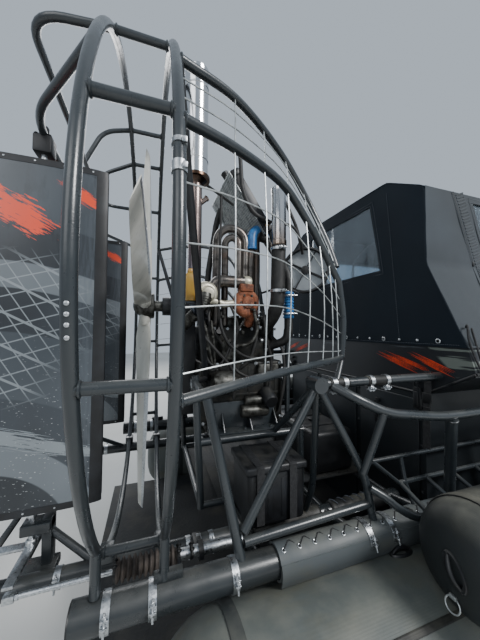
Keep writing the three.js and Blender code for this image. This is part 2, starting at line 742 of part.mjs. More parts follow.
function foilOutline() {
  const nose = RUDDER_NOSE_X - RUDDER_PIVOT_X;
  const upper = FOIL.map(({ aft, half }) => [nose - aft, half * FOIL_HALF]);
  const lower = upper.slice(1).reverse().map(([x, y]) => [x, -y]);
  return [...upper, ...lower];
}

function makeRudders() {
  for (const { side, sign } of SIDES) {
    const rudder = new THREE.Group();
    rudder.position.set(RUDDER_PIVOT_X, sign * RUDDER_Y, 0);
    craft.add(rudder);
    const parts = [
      slabXY(foilOutline(), RUDDER_LOW, RUDDER_HIGH),
      pin(RUDDER_SHAFT_R, 690, 2122, 16, 'z', [0, 0, 0]),
      box(-ARM_LENGTH - 16, 12, -16, 16, ARM_Z, ARM_Z + 10),
      pin(PIN_R, ARM_Z - 24, ARM_Z + 5, 12, 'z', [-ARM_LENGTH, 0, 0]),
    ];
    if (side === 'starboard') parts.push(box(-14, 14, -166, 12, ARM_Z, ARM_Z + 10));
    place(`rudder_${side}`, fuse(parts), SLATE, rudder);
  }
}

function makeTieBar() {
  const tie = new THREE.Group();
  tie.position.set(RUDDER_PIVOT_X - ARM_LENGTH, -RUDDER_Y, 0);
  craft.add(tie);
  const reach = 2 * RUDDER_Y;
  const bar = box(-12, 12, -20, reach + 20, ARM_Z - 20, ARM_Z - 10);
  const hole = pin(PIN_R + 0.4, 600, 720, 12, 'z', [0, 0, 0]);
  const slot = box(-15, 15, reach - 14, reach + 30, 600, 720);
  place('rudder_tie_bar', cut(bar, [hole, slot]), ZINC, tie);
}

// Steering ram along the starboard inner rail, behind a rubber bellows
const BELLOWS = { aft: -143, folds: 7, pitch: 20, outer: 34, valley: 22, inner: 13.5 };

function makeSteeringRam() {
  const ram = new THREE.Group();
  craft.add(ram);
  place('steering_rod', fuse([
    rod([[-445, STEER_Y, STEER_Z], [205, STEER_Y, STEER_Z]], STEER_ROD_R, 10),
    box(-445, -415, STEER_Y - 12, STEER_Y + 12, STEER_Z - 10, STEER_Z + 12),
  ]), ZINC, ram);
  const { aft, folds, pitch, outer, valley, inner } = BELLOWS;
  const guide = STEER_ROD_R + 0.7;
  const profile = [[inner, aft - 7], [outer, aft - 7]];
  for (let i = 0; i < folds; i += 1) {
    profile.push([outer, aft + i * pitch]);
    profile.push([valley, aft + 10 + i * pitch]);
  }
  profile.push([30, 4], [18, 4], [18, 290], [guide, 290], [guide, 20], [inner, 12], [inner, aft - 7]);
  const bellows = turned(profile, 10, 'x', [0, STEER_Y, STEER_Z]);
  const clamp = box(115, 150, -580, -480, 632, 652);
  const bore = pin(10, 100, 170, 10, 'x', [0, STEER_Y, STEER_Z]);
  place('steering_bellows', cut(fuse([bellows, clamp]), [bore, ...BED_CUTTERS]), RUBBER);
}

// Cabin body: tub, flared coaming and foredeck
const TUB = [[CABIN_AFT, -TUB_HALF], [3900, -TUB_HALF], [4500, -540], [4950, -320]];
const TUB_IN = [[CABIN_AFT + TUB_WALL, -618], [3897, -618], [4492, -529], [4938, -312]];
const FOREDECK = [[COAMING_FORE + 1, -TUB_HALF], [4500, -540], [4950, -320]];

// An outline in Y and Z from its starboard side, which runs upward.
function leftAndRight(half) {
  return [...half.map(([y, z]) => [-y, z]), ...[...half].reverse()];
}

function makeTub() {
  const hollow = slabXY(bothHalves(TUB_IN), 335, TUB_TOP + 50);
  const tub = slabXY(bothHalves(TUB), DECK_Z + GAP, TUB_TOP);
  place('cabin_tub', cut(tub, [hollow, ...HULL_CUTTERS]), SLATE);
  const low = TUB_TOP + GAP;
  const high = SILL_Z - GAP;
  const outside = [
    [-TUB_HALF, low], [-GUNWALE_HALF, GUNWALE_Z], [-GUNWALE_HALF, GUNWALE_Z + 25], [-SILL_HALF, high],
  ];
  const inside = [
    [TUB_WALL - TUB_HALF, TUB_TOP - 50], [TUB_WALL - TUB_HALF, TUB_TOP + 7],
    [TUB_WALL - GUNWALE_HALF, GUNWALE_Z + 7], [TUB_WALL - GUNWALE_HALF, GUNWALE_Z + 23],
    [TUB_WALL - SILL_HALF, SILL_Z + 20],
  ];
  const room = slabYZ(leftAndRight(inside), CABIN_AFT + TUB_WALL, COAMING_FORE - TUB_WALL);
  place('coaming', cut(slabYZ(leftAndRight(outside), CABIN_AFT, COAMING_FORE), [room]), SLATE);
  const slope = slabXZ([[3900, SILL_Z - 2], [5100, 1190], [5100, 1600], [3900, 1600]], -900, 900);
  place('foredeck', cut(slabXY(bothHalves(FOREDECK), low, SILL_Z), [slope]), PVC);
}

// Soft top: one shell, parted where its panels are sewn
const TENT_OUT = [
  [-SILL_HALF, SILL_Z], [-650, 1780], [-650, EAVES_Z], [-430, ROOF_Z],
];
const TENT_IN = [
  [9 - SILL_HALF, SILL_Z - 20], [9 - SILL_HALF, SILL_Z],
  [-642, 1778], [-642, EAVES_Z - 5], [-427, ROOF_Z - WALL],
];
const AFT_WINDOW = [[-380, 1800], [-310, 2200]];
const SIDE_WINDOW = [[1650, 1830], [1530, 2120], [3150, 2120], [3150, 1830]];
const SCREEN = { y0: 30, y1: 600, z0: 1500, z1: 2130 };

function screenX(z) {
  return SCREEN_FOOT + ((SCREEN_HEAD - SCREEN_FOOT) * (z - SILL_Z)) / (ROOF_Z - SILL_Z);
}

// All the space ahead of the windscreen's plane, moved forward by the given distance.
function aheadOfScreen(shift) {
  const low = 1200;
  const high = 2500;
  return slabXZ(
    [[screenX(low) + shift, low], [screenX(high) + shift, high], [4800, high], [4800, low]],
    -1200,
    1200,
  );
}

// A block that holds all of the tent from one X to another, above the given height.
function zone(x0, x1, low, high) {
  return solid(box(x0, x1, -WIDEST, WIDEST, low, high));
}

function makeTent() {
  const outer = cut(slabYZ(leftAndRight(TENT_OUT), CABIN_AFT, 4200), [aheadOfScreen(0)]);
  const inner = cut(slabYZ(leftAndRight(TENT_IN), CABIN_AFT + WALL, 4200), [aheadOfScreen(-10)]);
  const shell = outer.subtract(inner);
  const aftWall = shell.intersect(zone(1100, CABIN_AFT + WALL, 1300, 2500));
  const screen = shell.intersect(solid(aheadOfScreen(-10)));
  const rest = cut(shell, [zone(1100, CABIN_AFT + WALL + GAP, 1300, 2500), aheadOfScreen(-10 - GAP)]);
  place('tent_roof', rest.intersect(zone(1100, 4300, EAVES_Z + GAP, 2500)), TENT);
  makeAftWall(aftWall);
  makeTentSides(rest);
  makeWindscreen(screen);
}

// An outline made smaller by the gap that a pane keeps all round its opening.
function shrunk(outline) {
  const middle = [0, 1].map((axis) => outline.reduce((sum, point) => sum + point[axis], 0) / outline.length);
  const inward = (value, axis) => value - 2 * GAP * Math.sign(value - middle[axis]);
  return outline.map((point) => point.map(inward));
}

function makeAftWall(wall) {
  const opening = leftAndRight(AFT_WINDOW);
  place('tent_aft_wall', cut(wall, [slabYZ(opening, 1100, 1300)]), TENT);
  place('window_aft', slabYZ(shrunk(opening), CABIN_AFT + 3, CABIN_AFT + 5), CLEAR);
}

function makeTentSides(tent) {
  const opening = slabXZ(SIDE_WINDOW, -WIDEST, WIDEST);
  for (const { side, sign } of SIDES) {
    const half = solid(sideBox(sign, 1100, 4300, 5, WIDEST, 1300, EAVES_Z));
    place(`tent_side_${side}`, cut(tent.intersect(half), [opening]), TENT);
    const inner = Math.min(sign * 644, sign * 647);
    place(`window_side_${side}`, slabXZ(shrunk(SIDE_WINDOW), inner, inner + 3), CLEAR);
  }
}

function makeWindscreen(screen) {
  const { y0, y1, z0, z1 } = SCREEN;
  const openings = SIDES.map(({ sign }) => sideBox(sign, 3200, 4100, y0, y1, z0, z1));
  place('windscreen_frame', cut(screen, openings), TENT);
  for (const { side, sign } of SIDES) {
    const sheet = cut(aheadOfScreen(-7), [aheadOfScreen(-3)]);
    const pane = sideBox(sign, 3200, 4100, y0 + GAP, y1 - GAP, z0 + GAP, z1 - GAP);
    place(`windscreen_${side}`, sheet.intersect(solid(pane)), CLEAR);
  }
}

// Cabin fittings
const SEATS = [
  { name: 'seat_driver', x: 2620, y0: -590, y1: -90 },
  { name: 'seat_passenger', x: 2620, y0: 90, y1: 590 },
  { name: 'bench_rear', x: 1330, y0: -600, y1: 600 },
];
const SEAT_FLOOR = 335 + GAP;
const SEAT_SIDE = [
  [40, SEAT_FLOOR], [520, SEAT_FLOOR], [560, 700], [560, 780], [130, 760],
  [60, 1330], [-20, 1340], [-30, 1300], [20, 760], [40, 700],
];
const DASH_HALF = 618 - GAP;
const DASH_MIDDLE = [3700, 1150];
const DASH_SIDE = [[3560, 1000], [3800, 1000], [3890, 1148], [3890, 1260], [3600, 1300], [3520, 1180]];

function dashboard(grow) {
  const [x, z] = DASH_MIDDLE;
  const side = DASH_SIDE.map(([u, v]) => [u + grow * Math.sign(u - x), v + grow * Math.sign(v - z)]);
  return slabXZ(side, -DASH_HALF, DASH_HALF);
}

function makeFittings() {
  for (const { name, x, y0, y1 } of SEATS) {
    place(name, slabXZ(SEAT_SIDE.map(([u, z]) => [x + u, z]), y0, y1), COVER);
  }
  place('dashboard', dashboard(0), BLACK);
}

function makeSteeringWheel() {
  const wheel = new THREE.Group();
  wheel.position.set(WHEEL.x, WHEEL.y, WHEEL.z);
  wheel.rotation.y = radians(WHEEL.tilt);
  wheel.updateMatrix();
  craft.add(wheel);
  const parts = [
    new THREE.TorusGeometry(WHEEL.radius, WHEEL.rim, 6, 20).rotateY(Math.PI / 2),
    pin(34, -WHEEL.hub, WHEEL.hub, 14, 'x', [0, 0, 0]),
  ];
  for (const degrees of [90, 210, 330]) {
    const end = [0, WHEEL.radius * Math.cos(radians(degrees)), WHEEL.radius * Math.sin(radians(degrees))];
    parts.push(rod([[0, 0, 0], end], 9, 6));
  }
  place('steering_wheel', fuse(parts), BLACK, wheel);
  const column = pin(17, WHEEL.hub + GAP, 260, 12, 'x', [0, 0, 0]).applyMatrix4(wheel.matrix);
  const under = box(3515, 4000, -800, 0, 900, 1090);
  place('steering_column', cut(column, [under, dashboard(0.5)]), ZINC);
}

// Side rails to hold on to, each with a strut to the brace and two leaning posts
const GRAB_Y = 800;
const GRAB_Z = 1110;
const GRAB_R = 18;
const GRAB_POST_R = 21;
const GRAB_POSTS = [{ top: 1120, foot: 1200 }, { top: 1540, foot: 1620 }];
const GRAB_LINE = [
  [NODE_X + 62, -NODE_Y - 8, NODE_Z - 8], [670, -765, 1205], [780, -GRAB_Y, 1150], [1070, -GRAB_Y, GRAB_Z],
  [1900, -GRAB_Y, GRAB_Z], [2010, -780, 1050], [2040, -RAIL_Y, 700],
];
const GRAB_STRUT = [[765, -GRAB_Y, 1150], [738, -745, 915]];

function makeHandrails() {
  for (const { side, sign } of SIDES) {
    const parts = [rod(bent(onSide(sign, GRAB_LINE), 90, 2), GRAB_R, 6)];
    for (const { top, foot } of GRAB_POSTS) {
      parts.push(rod([[top, sign * GRAB_Y, GRAB_Z], [foot, sign * RAIL_Y, 700]], GRAB_POST_R, 8));
    }
    parts.push(rod(onSide(sign, GRAB_STRUT), 14, 6));
    const brace = rod(onSide(sign, BRACE), BRACE_R + GAP, 6);
    const tools = [topTube(sign, TOP_TUBE_R + GAP), ...SLEEVE_CUTTERS, brace];
    place(`handrail_${side}`, cut(fuse(parts), tools), PAINT);
  }
}

// Racks over the outer rails: an outer tube that bends down from the brace, and bars across to inner ones
const RACK_OUTER = [
  [742, -738, 870], [790, -780, 834], [830, -800, 800], [900, -812, 762],
  [1000, -815, 745], [1880, -815, 745],
];
const RACK_INNER = [[850, -655, 900], [975, -675, 800], [1880, -675, 800]];
const RACK_UPPER = [[850, -655, 900], [1880, -655, 900]];
const RACK_BARS = [980, 1135, 1295, 1455, 1700, 1870];
const RACK_LEGS = [1010, 1780];

function makeRacks() {
  for (const { side, sign } of SIDES) {
    const parts = [
      rod(onSide(sign, RACK_OUTER), 14, 8),
      rod(onSide(sign, RACK_INNER), 10, 6),
      rod(onSide(sign, RACK_UPPER), 9, 6),
    ];
    for (const x of RACK_BARS) {
      parts.push(rod([[x, sign * 675, 800], [x, sign * 815, 745]], 10, 6));
    }
    for (const x of RACK_LEGS) {
      parts.push(rod([[x, sign * 655, 900], [x, sign * 675, 800], [x, sign * 725, 700]], 9, 6));
    }
    const tools = [...SLEEVE_CUTTERS, rod(onSide(sign, BRACE), BRACE_R + GAP, 6)];
    place(`side_rack_${side}`, cut(fuse(parts), tools), PAINT);
  }
}

makeHullTubes();
makeBottom();
makeOuterRails();
makeEngineBed();
makeHoops();
makeCageTop();
makeBaskets();
makeEngineFrame();
makeEngine();
makeExhausts();
makeRadiator();
makeEngineBay();
makePropeller();
makeRudders();
makeTieBar();
makeSteeringRam();
makeTub();
makeTent();
makeFittings();
makeSteeringWheel();
makeHandrails();
makeRacks();

// The overall length runs from the rudders' trailing edges to the bow
craft.position.x = -MIDDLE_X;
const boat = new THREE.Group();
boat.add(craft);
export default boat;
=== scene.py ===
"""Dresses the amphibious airboat: welded tube cage, coated fabric tubes, engine, rudders and soft top."""
import math
import random

import bmesh
import bpy
from mathutils import Matrix, Vector, noise


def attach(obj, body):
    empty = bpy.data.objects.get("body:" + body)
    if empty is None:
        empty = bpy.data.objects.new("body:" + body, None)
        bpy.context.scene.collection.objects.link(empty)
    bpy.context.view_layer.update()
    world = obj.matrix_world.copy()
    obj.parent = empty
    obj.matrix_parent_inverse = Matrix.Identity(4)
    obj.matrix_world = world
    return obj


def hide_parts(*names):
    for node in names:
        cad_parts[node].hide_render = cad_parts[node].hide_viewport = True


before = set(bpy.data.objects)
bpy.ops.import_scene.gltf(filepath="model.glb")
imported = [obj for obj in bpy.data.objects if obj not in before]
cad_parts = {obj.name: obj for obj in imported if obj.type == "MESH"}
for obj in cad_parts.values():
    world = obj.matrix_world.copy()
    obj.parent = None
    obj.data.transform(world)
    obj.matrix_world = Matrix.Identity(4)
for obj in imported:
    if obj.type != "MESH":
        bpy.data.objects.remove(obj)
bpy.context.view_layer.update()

# Lengths are metres. Points are written from the fore hoop of the cage, as in the part's source,
# and MIDDLE moves them to the middle of the craft.
MIDDLE = Vector((-2.52225, 0.0, 0.0))


# Camera: fitted to the photograph; degrees, and the focal length in the photograph's pixels
EYE = Vector((-0.048, -1.569, 1.455))
YAW, PITCH, ROLL = 18.4, 2.1, 0.33
FOCAL_PIXELS, PHOTO_HEIGHT = 266.0, 640.0
SENSOR = 36.0


def place_camera():
    """Stands at the starboard side of the cage, as the photograph does."""
    yaw, pitch, roll = math.radians(YAW), math.radians(PITCH), math.radians(ROLL)
    ahead = Vector((math.sin(yaw) * math.cos(pitch), math.cos(yaw) * math.cos(pitch), math.sin(pitch)))
    across = Vector((math.cos(yaw), -math.sin(yaw), 0.0))
    above = across.cross(ahead)
    right = across * math.cos(roll) + above * math.sin(roll)
    up = above * math.cos(roll) - across * math.sin(roll)
    lens = bpy.data.cameras.new("photo_view")
    lens.sensor_width = SENSOR
    lens.lens = FOCAL_PIXELS * SENSOR / PHOTO_HEIGHT
    lens.clip_start = 0.02
    camera = bpy.data.objects.new("photo_view", lens)
    turn = Matrix((right, up, -ahead)).transposed().to_4x4()
    camera.matrix_world = Matrix.Translation(EYE + MIDDLE) @ turn
    bpy.context.scene.collection.objects.link(camera)
    bpy.context.scene.camera = camera


place_camera()


# Materials

def linear(code):
    """Turns an sRGB hex value into linear RGBA."""
    values = [int(code[i:i + 2], 16) / 255 for i in (1, 3, 5)]
    return [v / 12.92 if v <= 0.04045 else ((v + 0.055) / 1.055) ** 2.4 for v in values] + [1.0]


def add(tree, kind, inputs=(), **settings):
    """Adds one node. inputs maps a socket to a value or to another node's output."""
    made = tree.nodes.new(kind)
    for key, value in settings.items():
        setattr(made, key, value)
    for key, value in dict(inputs).items():
        socket = made.inputs[key]
        if isinstance(value, bpy.types.NodeSocket):
            tree.links.new(value, socket)
        else:
            socket.default_value = value
    return made


class Finish:
    """One material: a shader, the place on the surface in metres, and its layers of colour and relief."""

    def __init__(self, name, base, roughness, metallic=0.0, **sockets):
        self.material = bpy.data.materials.new(name)
        self.material.use_nodes = True
        self.tree = self.material.node_tree
        self.tree.nodes.clear()
        values = {"Base Color": linear(base), "Roughness": roughness, "Metallic": metallic}
        values.update(sockets)
        self.shader = add(self.tree, "ShaderNodeBsdfPrincipled", values)
        out = add(self.tree, "ShaderNodeOutputMaterial", {"Surface": self.shader.outputs[0]})
        out.is_active_output = True
        self.place = add(self.tree, "ShaderNodeTexCoord").outputs["Object"]
        self.colour = None
        self.base = linear(base)
        self.height = None

    def noise(self, size, detail=3.0, stretch=(1.0, 1.0, 1.0), rough=0.55):
        """Noise whose blotches are about size metres wide."""
        where = add(self.tree, "ShaderNodeMapping", {"Vector": self.place, "Scale": stretch}).outputs[0]
        inputs = {"Vector": where, "Scale": 1.0 / size, "Detail": detail, "Roughness": rough}
        return add(self.tree, "ShaderNodeTexNoise", inputs).outputs["Fac"]

    def between(self, value, low, high, to_low=0.0, to_high=1.0):
        """Spreads a value from low..high to another range."""
        inputs = {"Value": value, "From Min": low, "From Max": high, "To Min": to_low, "To Max": to_high}
        return add(self.tree, "ShaderNodeMapRange", inputs).outputs[0]

    def times(self, one, two, kind="MULTIPLY"):
        return add(self.tree, "ShaderNodeMath", {0: one, 1: two}, operation=kind).outputs[0]

    def tint(self, code, amount):
        """Mixes another colour in where amount is high."""
        under = self.colour if self.colour is not None else self.base
        inputs = {"Factor": amount, 6: under, 7: linear(code)}
        self.colour = add(self.tree, "ShaderNodeMix", inputs, data_type="RGBA").outputs[2]
        self.tree.links.new(self.colour, self.shader.inputs["Base Color"])
        return self

    def rough(self, value, low, high):
        """Lets roughness run from low to high with a value from 0 to 1."""
        self.tree.links.new(self.between(value, 0.3, 0.7, low, high), self.shader.inputs["Roughness"])
        return self

    def relief(self, value, depth, strength=1.0):
        """Adds a bump of depth metres."""
        inputs = {"Height": value, "Distance": depth, "Strength": strength}
        if self.height is not None:
            inputs["Normal"] = self.height
        self.height = add(self.tree, "ShaderNodeBump", inputs).outputs[0]
        self.tree.links.new(self.height, self.shader.inputs["Normal"])
        return self

    def axis(self, name):
        """One of the X, Y or Z places, in metres."""
        return add(self.tree, "ShaderNodeSeparateXYZ", {0: self.place}).outputs[name]

    def upward(self, low=0.35, high=0.95):
        """1 where the surface looks up, where dust settles."""
        facing = add(self.tree, "ShaderNodeNewGeometry").outputs["Normal"]
        z = add(self.tree, "ShaderNodeSeparateXYZ", {0: facing}).outputs["Z"]
        return self.between(z, low, high)

    def dust(self, code, amount, size=0.12):
        """Dust on what looks up, thicker in blotches."""
        patches = self.between(self.noise(size, 5.0), 0.42, 0.72)
        settled = self.times(self.times(self.upward(), patches), amount)
        return self.tint(code, settled)

    def weave(self, thread, depth):
        """Crossing sets of threads on any side of the piece, about 0.63 * thread metres apart."""
        waves = []
        for direction in ("X", "Y", "Z"):
            inputs = {"Vector": self.place, "Scale": 0.5 / thread, "Distortion": 0.0}
            wave = add(self.tree, "ShaderNodeTexWave", inputs, bands_direction=direction)
            waves.append(wave.outputs["Fac"])
        over = self.times(self.times(waves[0], waves[1]), waves[2], "ADD")
        return self.relief(over, depth)


FINISH = {}


def painted_tube(name, base):
    # Powder-coated steel tube: satin, with a slight orange peel and dust on top
    made = Finish(name, base, 0.34, 0.0, **{"IOR": 1.5, "Coat Weight": 0.25, "Coat Roughness": 0.2})
    made.tint("#3c4246", made.between(made.noise(0.3), 0.4, 0.75, 0.0, 0.3))
    made.dust("#8d8b82", 0.2, 0.15)
    made.rough(made.noise(0.04), 0.24, 0.38)
    made.relief(made.noise(0.003, 1.0), 0.0002)
    return made


def coated_fabric(name, base, light, dirt):
    # Inflated PVC-coated fabric: matte, taut, with thread ridges about 2.5 mm apart
    made = Finish(name, base, 0.52, 0.0, **{"IOR": 1.48, "Specular IOR Level": 0.4})
    made.tint(light, made.between(made.noise(0.5, 4.0), 0.35, 0.7, 0.0, 0.55))
    made.tint(dirt, made.between(made.noise(0.09, 6.0, (0.4, 1.0, 1.0)), 0.52, 0.75, 0.0, 0.45))
    made.dust("#8f8d7f", 0.42, 0.2)
    made.rough(made.noise(0.15, 4.0), 0.42, 0.66)
    made.weave(0.004, 0.0001)
    made.relief(made.noise(0.16, 2.0), 0.0016)
    return made


def canvas(name, base, light, sheen=0.15, dust=0.25, gloss=0.35):
    # Acrylic-coated polyester canvas: dull, faintly ribbed, with soft creases
    made = Finish(name, base, 0.82, 0.0, **{"Sheen Weight": sheen, "Sheen Roughness": 0.5,
        "Specular IOR Level": gloss})
    made.tint(light, made.between(made.noise(0.5, 3.0), 0.4, 0.7, 0.0, 0.6))
    made.dust("#6d6f70", dust, 0.3)
    made.weave(0.004, 0.00015)
    made.relief(made.noise(0.3, 2.0, (1.0, 1.0, 0.6)), 0.007)
    return made


def zinc_plate(name, base):
    # Bright zinc on pressed steel: pale, blotchy, half polished
    made = Finish(name, base, 0.3, 1.0)
    made.tint("#8f9498", made.between(made.noise(0.008, 2.0), 0.35, 0.7, 0.0, 0.7))
    made.rough(made.noise(0.01), 0.22, 0.5)
    made.relief(made.noise(0.004, 2.0), 0.0002)
    return made


def make_finishes():
    f = FINISH
    f["paint"] = painted_tube("powder_coated_steel_charcoal", "#23282b")
    f["bed_paint"] = painted_tube("powder_coated_steel_charcoal_worn", "#1d2123")
    f["hull"] = coated_fabric("pvc_coated_fabric_grey", "#4a4f4d", "#606562", "#57533f")
    f["upper"] = coated_fabric("pvc_coated_fabric_dark_grey", "#1b1f20", "#272c2d", "#2e2d27")
    f["sleeve"] = coated_fabric("pvc_coated_fabric_charcoal", "#43484a", "#555b5e", "#53503f")
    f["tape"] = coated_fabric("pvc_coated_fabric_dark_tape", "#2c3031", "#3d4243", "#46443a")
    f["bottom"] = coated_fabric("pvc_coated_fabric_black", "#131415", "#1f2122", "#37342b")
    f["canvas"] = canvas("polyester_canvas_dark_grey", "#1e262c", "#323b43")
    # The aft wall's canvas is this same cloth made darker, bluer and less glossy: painted shade on the wall
    # that faces away from the key light.
    f["painted_shade_canvas"] = canvas("polyester_canvas_painted_shade", "#111a22", "#1a252e", 0.0, 0.06, 0.18)

    # Clear flexible vinyl: glassy, slightly blue, with soft ripples
    clear = f["clear"] = Finish("clear_vinyl_window", "#c6d6e2", 0.06, 0.0,
        **{"IOR": 1.5, "Transmission Weight": 0.92})
    clear.relief(clear.noise(0.14, 2.0), 0.002)
    clear.rough(clear.noise(0.2), 0.03, 0.12)

    # Matte vinyl wrap over a rudder or panel, in slate
    slate = f["slate"] = Finish("satin_slate_panel", "#14181b", 0.42, 0.0,
        **{"Coat Weight": 0.15, "Coat Roughness": 0.3})
    slate.tint("#20262a", slate.between(slate.noise(0.25, 4.0), 0.4, 0.7, 0.0, 0.6))
    slate.dust("#77776f", 0.35, 0.15)
    slate.relief(slate.noise(0.05, 2.0), 0.0006)

    # Deck panel with a moulded non-slip grain
    deck = f["deck"] = Finish("moulded_deck_panel", "#1a1d1f", 0.7)
    deck.tint("#5b564a", deck.between(deck.noise(0.2, 6.0), 0.5, 0.8, 0.0, 0.5))
    deck.relief(deck.noise(0.012, 1.0), 0.002)

    # Moulded black plastic with a fine grain
    plastic = f["plastic"] = Finish("moulded_black_plastic", "#101113", 0.46)
    plastic.tint("#22252a", plastic.between(plastic.noise(0.07, 3.0), 0.45, 0.7, 0.0, 0.6))
    plastic.dust("#6b6a64", 0.3, 0.06)
    plastic.relief(plastic.noise(0.0025, 1.0), 0.0002)

    f["zinc"] = zinc_plate("zinc_plated_steel", "#c9ccce")

    # Galvanised fence wire, dull and pale
    wire = f["wire"] = Finish("galvanised_wire", "#c4c8c8", 0.42, 0.8)
    wire.tint("#8c9191", wire.between(wire.noise(0.03), 0.4, 0.7))

    # Polished stainless pipe, blued and browned by heat low down
    chrome = f["chrome"] = Finish("polished_stainless_pipe", "#c9cbcd", 0.12, 1.0)
    height = chrome.axis("Z")
    chrome.tint("#8a6b48", chrome.between(height, 2.05, 1.86))
    chrome.tint("#4b4a52", chrome.between(height, 1.9, 1.72))
    chrome.rough(chrome.noise(0.02, 3.0, (1.0, 1.0, 0.1)), 0.08, 0.26)
    chrome.relief(chrome.noise(0.002, 1.0, (1.0, 1.0, 0.05)), 0.0001)

    # Cast iron and aluminium under oil and dust
    cast = f["cast"] = Finish("oily_cast_metal", "#1b1c1a", 0.5, 0.4)
    cast.tint("#37332b", cast.between(cast.noise(0.03, 5.0), 0.5, 0.72, 0.0, 0.8))
    cast.tint("#0c0d0d", cast.between(cast.noise(0.08, 4.0), 0.5, 0.75, 0.0, 0.8))
    cast.rough(cast.noise(0.02), 0.35, 0.7)
    cast.relief(cast.noise(0.004, 3.0), 0.0008)

    # Cast aluminium: paler, grainy
    alloy = f["alloy"] = Finish("cast_aluminium_grimy", "#5d5d59", 0.45, 0.8)
    alloy.tint("#2a2925", alloy.between(alloy.noise(0.03, 4.0), 0.4, 0.62))
    alloy.relief(alloy.noise(0.003, 2.0), 0.0005)
    # The clean casting's warm cream colour is partly its own and partly a painted yellow reflection.
    bright = f["bright"] = Finish("cast_aluminium_clean_painted_warm_reflection", "#c2bdaa", 0.36, 0.55)
    bright.tint("#7d7a6e", bright.between(bright.noise(0.03, 4.0), 0.48, 0.7))
    bright.relief(bright.noise(0.003, 2.0), 0.0004)

    # Turned brass, dulled
    brass = f["brass"] = Finish("dull_turned_brass", "#b08a4a", 0.38, 0.9)
    brass.tint("#6f5a35", brass.between(brass.noise(0.02, 3.0), 0.5, 0.7))

    # Turbine housing: rusty cast iron
    rust = f["rust"] = Finish("rusty_cast_iron", "#8a5136", 0.75, 0.15)
    rust.tint("#4d2d20", rust.between(rust.noise(0.03, 5.0), 0.45, 0.68))
    rust.tint("#b08062", rust.between(rust.noise(0.02, 4.0), 0.55, 0.75))
    rust.relief(rust.noise(0.004, 4.0), 0.001)

    # Bent steel pipe, browned and sooted by heat
    header = f["header"] = Finish("heat_browned_steel_pipe", "#686460", 0.3, 0.9)
    header.tint("#6b5344", header.between(header.noise(0.08, 4.0), 0.5, 0.72, 0.0, 0.6))
    header.tint("#242220", header.between(header.noise(0.05, 4.0), 0.52, 0.7, 0.0, 0.8))
    header.relief(header.noise(0.004, 3.0), 0.0004)

    # Stainless pipe that has run hot: mauve and straw colours over bright steel
    tinted = f["tinted"] = Finish("heat_tinted_stainless", "#8f827c", 0.26, 1.0)
    tinted.tint("#6f5a57", tinted.between(tinted.noise(0.2, 3.0, (1.0, 1.0, 0.4)), 0.4, 0.65, 0.0, 0.8))
    tinted.tint("#4a3a30", tinted.between(tinted.axis("Z"), 2.06, 2.12))
    tinted.tint("#5d6470", tinted.between(tinted.axis("Z"), 1.85, 1.6))
    tinted.relief(tinted.noise(0.003, 2.0), 0.0001)

    # Radiator cores: thin fins about 3 mm apart; the pale copy is the same fins made lighter, painted light
    # on the shaded core of the cooler ring
    for key, base, edge in (("core", "#2b3032", "#4d5355"), ("painted_light_core", "#9ba2a7", "#ccd2d5")):
        core = Finish(f"radiator_fins_{key}", base, 0.45, 0.3)
        inputs = {"Vector": core.place, "Scale": 100.0}
        fins = add(core.tree, "ShaderNodeTexWave", inputs, bands_direction="Y").outputs["Fac"]
        core.tint(edge, core.between(fins, 0.4, 0.9, 0.0, 0.6))
        core.relief(fins, 0.002)
        f[key] = core

    # Composite blade in off-white paint, grey and stained toward the tip
    blade = f["blade"] = Finish("painted_composite_blade", "#c9c8bf", 0.35, 0.0, **{"Coat Weight": 0.3})
    blade.tint("#8f9088", blade.between(blade.noise(0.12, 5.0, (1.0, 1.0, 0.3)), 0.42, 0.72, 0.0, 0.75))
    blade.tint("#5e5f58", blade.between(blade.noise(0.02, 5.0), 0.62, 0.78, 0.0, 0.6))
    blade.relief(blade.noise(0.02, 2.0), 0.0004)

    # Corrugated rubber boot, browned by dust
    boot = f["boot"] = Finish("corrugated_rubber_boot", "#272321", 0.8)
    boot.tint("#514943", boot.between(boot.noise(0.03, 4.0), 0.35, 0.65, 0.0, 0.8))
    boot.relief(boot.noise(0.004, 2.0), 0.0004)

    # Blow-moulded fuel tank: waxy black polyethylene, scuffed grey
    tank = f["tank"] = Finish("blow_moulded_black_polyethylene", "#131416", 0.42)
    tank.tint("#2d2e30", tank.between(tank.noise(0.1), 0.45, 0.7, 0.0, 0.6))
    tank.dust("#6f6d66", 0.3, 0.08)
    tank.relief(tank.noise(0.02, 2.0), 0.0008)

    # Seat cloth: woven, dark, with a faint fleck
    seat = f["seat"] = Finish("woven_seat_cloth", "#202226", 0.85, 0.0, **{"Sheen Weight": 0.3})
    seat.tint("#3b3f45", seat.between(seat.noise(0.006, 2.0), 0.55, 0.7, 0.0, 0.7))
    seat.weave(0.005, 0.0006)

    # Rubber hose and its blue silicone kind
    hose = f["hose"] = Finish("reinforced_rubber_hose", "#131313", 0.6)
    hose.tint("#2b2a28", hose.between(hose.noise(0.03), 0.45, 0.7))
    hose.relief(hose.noise(0.003, 1.0), 0.0003)
    blue = f["blue"] = Finish("blue_silicone_hose", "#2f6da8", 0.4)
    blue.tint("#1d4872", blue.between(blue.noise(0.03), 0.45, 0.7))
    blue.relief(blue.noise(0.004, 1.0), 0.0003)

    # Translucent polyethylene bottle
    bottle = f["bottle"] = Finish("translucent_polyethylene", "#b2944c", 0.35, 0.0,
        **{"Subsurface Weight": 0.2})
    bottle.tint("#9c7a32", bottle.between(bottle.axis("Z"), 1.86, 1.8))
    bottle.relief(bottle.noise(0.02), 0.0005)

    # Bonded polyester thread, a little paler than the canvas
    thread = f["thread"] = Finish("bonded_polyester_thread", "#4b525c", 0.7, 0.0, **{"Sheen Weight": 0.2})
    thread.tint("#2b3038", thread.between(thread.noise(0.004, 1.0), 0.45, 0.65))

